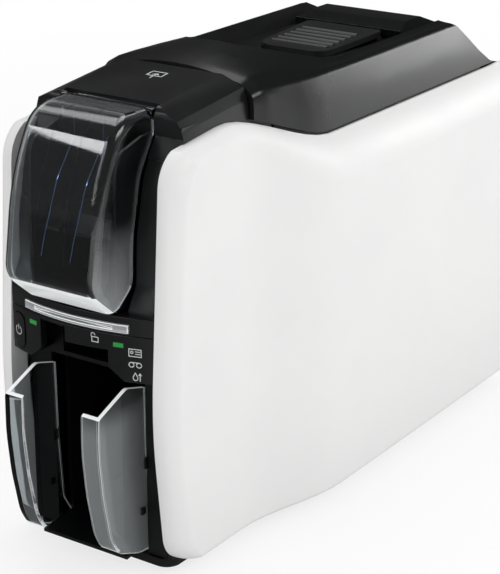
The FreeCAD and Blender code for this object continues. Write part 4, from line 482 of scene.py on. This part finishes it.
def screw_head(name, place, outward, radius_mm):
    """Pan head at place, in millimetres; outward points away from the face that carries it."""
    cells = 8
    square_share, rim_share = 0.56, 0.86      # of the head's radius
    arm_half_width, arm_reach = 0.2, 0.7      # of half the square's side
    half, rim = square_share * radius_mm * mm, rim_share * radius_mm * mm
    lift = Matrix.Translation((0, 0, top_mm * mm))
    head = bmesh.new()
    bmesh.ops.create_grid(head, x_segments=cells, y_segments=cells, size=half, matrix=lift)
    square_edges = [edge for edge in head.edges if edge.is_boundary]
    bmesh.ops.create_circle(head, segments=4 * cells, radius=rim, matrix=lift)
    circle_edges = [edge for edge in head.edges if edge.is_wire]
    bmesh.ops.bridge_loops(head, edges=square_edges + circle_edges)
    for height_mm in (shoulder_mm, foot_mm):
        border = [edge for edge in head.edges if edge.is_boundary]
        wall = bmesh.ops.extrude_edge_only(head, edges=border)["geom"]
        for vertex in (item for item in wall if isinstance(item, bmesh.types.BMVert)):
            grow = radius_mm * mm / math.hypot(vertex.co.x, vertex.co.y)
            vertex.co = Vector((vertex.co.x * grow, vertex.co.y * grow, height_mm * mm))
    cross = []
    for face in head.faces:
        middle = face.calc_center_median() / half
        near, far = sorted((abs(middle.x), abs(middle.y)))
        if near < arm_half_width and far < arm_reach:
            cross.append(face)
    sunk = bmesh.ops.extrude_face_region(head, geom=cross)["geom"]
    sunk_vertices = [item for item in sunk if isinstance(item, bmesh.types.BMVert)]
    bmesh.ops.translate(head, verts=sunk_vertices, vec=(0, 0, -recess_mm * mm))
    turn_to = Vector(outward).to_track_quat("Z", "Y").to_matrix().to_4x4()
    bmesh.ops.transform(head, matrix=Matrix.Translation(Vector(place) * mm) @ turn_to, verts=head.verts)
    return fastener(name, zinc_steel, head)


print("screw heads stand", top_mm, "mm proud, with a cross", recess_mm, "mm deep")

# %% [markdown]
# Six screws hold the rear wall, in a column near each side, and six hold the floor from below,
# beside the feet. The faces that carry them are read from the solids' boxes, and the wall of each
# head goes a little way into its face, so that no gap shows under it.

# %% Rear and base screws
rear_face_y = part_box("rear_cover")[1][1] / mm
base_low_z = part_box("base_tray")[0][2] / mm
rear_radius_mm, base_radius_mm = 2.6, 2.4
rear_places = [(x, rear_face_y, z) for x in (-52, 52) for z in (20, 120, 205)]
base_places = [(x, y, base_low_z) for x in (-44, 44) for y in (-60, 60, 150)]
for count, place in enumerate(rear_places):
    screw_head("rear_screw_" + str(count), place, (0, 1, 0), rear_radius_mm)
for count, place in enumerate(base_places, start=len(rear_places)):
    screw_head("base_screw_" + str(count), place, (0, 0, -1), base_radius_mm)
print("screws:", len(rear_places) + len(base_places), "rear face at", round(rear_face_y, 1), "mm, floor at",
      round(base_low_z, 1), "mm")

# %% [markdown]
# Small white pictograms are printed on the black mouldings: a card on the front cover, an open lock
# under the slot, a power sign on the button, and a card, a ribbon and a drop for cleaning in a column
# beside the card output. Each is a set of strokes, written as points in millimetres from its middle.


# %% Strokes of the pictograms
def arc(centre_x, centre_y, radius, start_deg, end_deg, steps):
    """Points along an arc."""
    turns = [math.radians(start_deg + (end_deg - start_deg) * step / steps) for step in range(steps + 1)]
    return [(centre_x + radius * math.cos(turn), centre_y + radius * math.sin(turn)) for turn in turns]


def ring(centre_x, centre_y, radius, steps):
    """Points round a circle, with the first one again at the end."""
    points = arc(centre_x, centre_y, radius, 0, 360, steps)[:-1]
    return points + points[:1]


def frame_line(half_width, low, high):
    """The outline of a rectangle."""
    return [(-half_width, low), (half_width, low), (half_width, high), (-half_width, high), (-half_width, low)]


card_sign = [frame_line(5, -3.2, 3.2), [(0, -6.5), (0, 0.6)], [(-1.8, -1.4), (0, 0.6), (1.8, -1.4)]]
id_card_sign = [frame_line(3.4, -2.1, 2.1), ring(-1.7, 0.3, 0.7, 8), [(0.3, 0.8), (2.5, 0.8)],
                [(0.3, -0.6), (2.5, -0.6)]]
ribbon_sign = [ring(-2.1, 0, 1.4, 10), ring(2.1, 0, 1.4, 10), [(-2.1, 1.4), (2.1, 1.4)]]
drop = [(0, 2.4), (1.3, 0)] + arc(0, -0.7, 1.3, 0, -180, 6)[1:-1] + [(-1.3, 0), (0, 2.4)]
cleaning_sign = [drop, [(2.6, -2), (2.6, 2.2)], [(1.9, 1.3), (2.6, 2.2), (3.3, 1.3)]]
lock_sign = [frame_line(2, -2.4, 0.4), arc(-1.2, 1.5, 1.2, 10, 190, 6) + [(-2.4, 0.6)]]
power_sign = [arc(0, 0, 2.6, 125, 415, 14), [(0, 0.6), (0, 3.2)]]
all_signs = (card_sign, id_card_sign, ribbon_sign, cleaning_sign, lock_sign, power_sign)
print("pictograms:", len(all_signs), "with", sum(len(sign) for sign in all_signs), "strokes")

# %% [markdown]
# Ink is a few hundredths of a millimetre thick and follows the moulding. Each stroke starts as a flat
# strip in a plane in front of the piece. Rays cast from its corners against the moulding then lay it
# on the surface, just clear of it, so that no stroke floats or sinks in on the curved cover.

# %% Printing ink
sign_ink = finish("white_printing_ink", {"Base Color": linear("#C9CBCC"), "Roughness": 0.5})[0]
ink_rise = 0.06 * mm
ray_start = 20 * mm


def printed_sign(name, node_name, place, upward, strokes, line_mm):
    """Strokes in a plane at place, laid on the node along the plane's inward normal."""
    across, upward = Vector((1, 0, 0)), Vector(upward)
    inward = upward.cross(across)
    surface = bmesh.new()
    surface.from_mesh(frame["nodes"][node_name].data)
    tree = BVHTree.FromBMesh(surface)
    surface.free()
    sign = bmesh.new()
    for points in strokes:
        for (x0, y0), (x1, y1) in zip(points, points[1:]):
            half_length = (math.hypot(x1 - x0, y1 - y0) + line_mm) / 2
            stroke_place = (Matrix.Translation(((x0 + x1) / 2, (y0 + y1) / 2, 0))
                            @ Matrix.Rotation(math.atan2(y1 - y0, x1 - x0), 4, "Z")
                            @ Matrix.Diagonal((half_length, line_mm / 2, 1, 1)))
            bmesh.ops.create_grid(sign, x_segments=1, y_segments=1, size=1.0, matrix=stroke_place)
    for vertex in sign.verts:
        start = Vector(place) + across * vertex.co.x * mm + upward * vertex.co.y * mm - inward * ray_start
        vertex.co = tree.ray_cast(start, inward)[0] - inward * ink_rise
    piece = new_object(name, mesh_from(sign, name, sign_ink))
    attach(piece, body_of_node[node_name])
    print(name, len(piece.data.polygons), "strips on", node_name)


print(sign_ink.name, "stands", round(ink_rise / mm, 2), "mm proud")

# %% [markdown]
# The card sign lies on the front cover, so its plane is level there. The others stand upright in
# front of the lower bezel and the power button. Each one rides on the body of the piece that it is
# printed on, so the power sign goes in with its button. Places are in metres.

# %% The six pictograms
front_plane_y, column_x = -0.170, 0.0395
up_z, up_y = (0, 0, 1), (0, 1, 0)
fine_mm, bold_mm = 0.5, 0.9
for name, node_name, place, upward, strokes, line_mm in (
        ("card_sign", "front_cover", (0, -0.098, 0.2705), up_y, card_sign, bold_mm),
        ("id_card_sign", "lower_bezel", (column_x, front_plane_y, 0.1382), up_z, id_card_sign, fine_mm),
        ("ribbon_sign", "lower_bezel", (column_x, front_plane_y, 0.1312), up_z, ribbon_sign, fine_mm),
        ("cleaning_sign", "lower_bezel", (column_x, front_plane_y, 0.1242), up_z, cleaning_sign, fine_mm),
        ("lock_sign", "lower_bezel", (0.016, front_plane_y, 0.1435), up_z, lock_sign, fine_mm),
        ("power_sign", "power_button", (-0.0435, front_plane_y, 0.133), up_z, power_sign, fine_mm)):
    printed_sign(name, node_name, place, upward, strokes, line_mm)

# %% [markdown]
# The world is a plain white room. The camera, and what it sees through clear plastic, gets full
# white. The light that falls on the printer is a little weaker, and what black gloss mirrors is
# dimmer still, as beside a dark part of a studio. The Light Path node tells these rays apart.

# %% White world
room_light, mirrored_light, seen_light = 0.66, 0.04, 1.0
world = bpy.data.worlds.new("studio_white")
bpy.context.scene.world = world
world.use_nodes = True
world_tree = world.node_tree
surround = world_tree.nodes["Background"]
path = add_node(world_tree, "ShaderNodeLightPath")
either = add_node(world_tree, "ShaderNodeMath", {"operation": "MAXIMUM"},
                  {0: path.outputs["Is Camera Ray"], 1: path.outputs["Is Transmission Ray"]})
seen = add_node(world_tree, "ShaderNodeMapRange", {"To Min": room_light, "To Max": seen_light},
                {"Value": either.outputs["Value"]})
mirrored = add_node(world_tree, "ShaderNodeMath", {"operation": "MULTIPLY", 1: mirrored_light - room_light},
                    {0: path.outputs["Is Glossy Ray"]})
level = add_node(world_tree, "ShaderNodeMath", {"operation": "ADD"},
                 {0: seen.outputs["Result"], 1: mirrored.outputs["Value"]})
surround.inputs["Color"].default_value = (1.0, 1.0, 1.0, 1.0)
world_tree.links.new(level.outputs["Value"], surround.inputs["Strength"])
print("room light", room_light, "mirrored", mirrored_light)

# %% [markdown]
# The printer stands on a wide sheet of matt white paper, one flat square.

# %% Studio floor
floor_mesh = bmesh.new()
bmesh.ops.create_grid(floor_mesh, x_segments=1, y_segments=1, size=6.0)
paper, paper_tree, paper_shader = finish("white_paper", {"Base Color": linear("#F7F7F7"), "Roughness": 0.9})
floor = new_object("studio_floor", mesh_from(floor_mesh, "studio_floor", paper))
print("floor", *(round(side, 1) for side in floor.dimensions[:2]), "m")

# %% [markdown]
# Near the printer the paper is lit by the lamps and takes its shadow; further off it goes over into
# plain white, so that no horizon shows. In black gloss the paper is dim on the left and bright to
# the right of the printer, where the white side throws light on it. Two mixes of an emission with
# the paper's own shader do that, each for one kind of ray.

# %% How the paper is seen
lit_reach, white_reach, near_glow = 0.7, 1.3, 0.76
sheen_reach, dim_sheen, bright_sheen = 0.3, 0.12, 0.9
paper_path = add_node(paper_tree, "ShaderNodeLightPath")
paper_place = add_node(paper_tree, "ShaderNodeTexCoord")
glow = add_node(paper_tree, "ShaderNodeEmission", {"Color": (1.0, 1.0, 1.0, 1.0), "Strength": 1.0})
reach = add_node(paper_tree, "ShaderNodeVectorMath", {"operation": "LENGTH"}, {0: paper_place.outputs["Object"]})
glow_share = add_node(paper_tree, "ShaderNodeMapRange",
                      {"From Min": lit_reach, "From Max": white_reach, "To Min": near_glow, "To Max": 1.0},
                      {"Value": reach.outputs["Value"]})
sight = add_node(paper_tree, "ShaderNodeMath", {"operation": "MULTIPLY"},
                 {0: paper_path.outputs["Is Camera Ray"], 1: glow_share.outputs["Result"]})
paper_seen = add_node(paper_tree, "ShaderNodeMixShader", None, {
    "Fac": sight.outputs["Value"], 1: paper_shader.outputs["BSDF"], 2: glow.outputs["Emission"]})
paper_axes = add_node(paper_tree, "ShaderNodeSeparateXYZ", None, {"Vector": paper_place.outputs["Object"]})
from_left = add_node(paper_tree, "ShaderNodeMapRange",
                     {"From Min": 0.0, "From Max": sheen_reach, "To Min": dim_sheen, "To Max": bright_sheen},
                     {"Value": paper_axes.outputs["X"]})
sheen = add_node(paper_tree, "ShaderNodeEmission", {"Color": (1.0, 1.0, 1.0, 1.0)},
                 {"Strength": from_left.outputs["Result"]})
floor_seen = add_node(paper_tree, "ShaderNodeMixShader", None, {
    "Fac": paper_path.outputs["Is Glossy Ray"], 1: paper_seen.outputs["Shader"], 2: sheen.outputs["Emission"]})
paper_tree.links.new(floor_seen.outputs["Shader"], paper_tree.nodes["Material Output"].inputs["Surface"])
print("paper turns plain white from", lit_reach, "to", white_reach, "m off")

# %% [markdown]
# Five soft boxes light the printer. The key stands high on the right, for the long white side and
# the bevel of the top cover's band. The face box is on the left front, for the black face and the
# clear door, and the top box fills from behind. The last two are there to be mirrored: a low card
# behind gives the side of the top cover its fading sheen, and a narrow strip is the door's band.


# %% Soft boxes
def soft_box(name, place, aim, width, height, power):
    """A rectangular lamp at place, turned to aim, with its size in metres and its power in watts."""
    lamp = bpy.data.lights.new(name, "AREA")
    lamp.shape = "RECTANGLE"
    lamp.size = width
    lamp.size_y = height
    lamp.energy = power
    holder = new_object(name, lamp)
    holder.location = place
    holder.rotation_euler = (Vector(aim) - Vector(place)).to_track_quat("-Z", "Y").to_euler()


centre = (0.0, 0.0, 0.13)
door_brow = (0.0, -0.178, 0.253)
soft_box("key_box", (1.8, 0.05, 1.45), centre, 1.0, 1.0, 12)
soft_box("face_box", (-0.5, -1.7, 0.9), centre, 0.5, 0.8, 3)
soft_box("top_box", (-0.6, 0.3, 1.6), centre, 1.0, 1.0, 6)
soft_box("side_card", (0.6, 1.3, 0.36), centre, 0.5, 0.3, 3)
soft_box("strip_box", (-1.0, -1.1, 1.03), door_brow, 0.6, 0.1, 1.3)
print("soft boxes:", len(bpy.data.lights), "with", round(sum(lamp.energy for lamp in bpy.data.lights), 1), "W")

# %% [markdown]
# The camera stands where the photograph was taken from: to the right of the front and a little
# above. Its place, lens and shift were found by fitting a pinhole camera to the printer's edges. The
# focal length in pixels becomes one in millimetres over the frame's longer side, which is its
# height, and the shift moves the picture as the photograph is cropped.

# %% Camera
photo_width_px = 500
photo_height_px = 574
focal_px = 1837.9
axis_x_px = 256.1
axis_y_px = 262.9
turn_deg = 34.2
rise_deg = 19.8
distance = 1.1463
turn, rise = math.radians(turn_deg), math.radians(rise_deg)
away = Vector((math.sin(turn) * math.cos(rise), -math.cos(turn) * math.cos(rise), math.sin(rise)))
lens = bpy.data.cameras.new("photo_camera")
camera = new_object("photo_camera", lens)
camera.location = Vector(centre) + away * distance
camera.rotation_euler = (-away).to_track_quat("-Z", "Y").to_euler()
lens.sensor_width = 36.0
lens.lens = focal_px / photo_height_px * lens.sensor_width
lens.shift_x = (photo_width_px / 2 - axis_x_px) / photo_height_px
lens.shift_y = (axis_y_px - photo_height_px / 2) / photo_height_px
lens.clip_end = 50.0
bpy.context.scene.camera = camera
bpy.context.scene.view_settings.view_transform = "Standard"
print("lens", round(lens.lens, 1), "mm, shift", round(lens.shift_x, 4), round(lens.shift_y, 4))
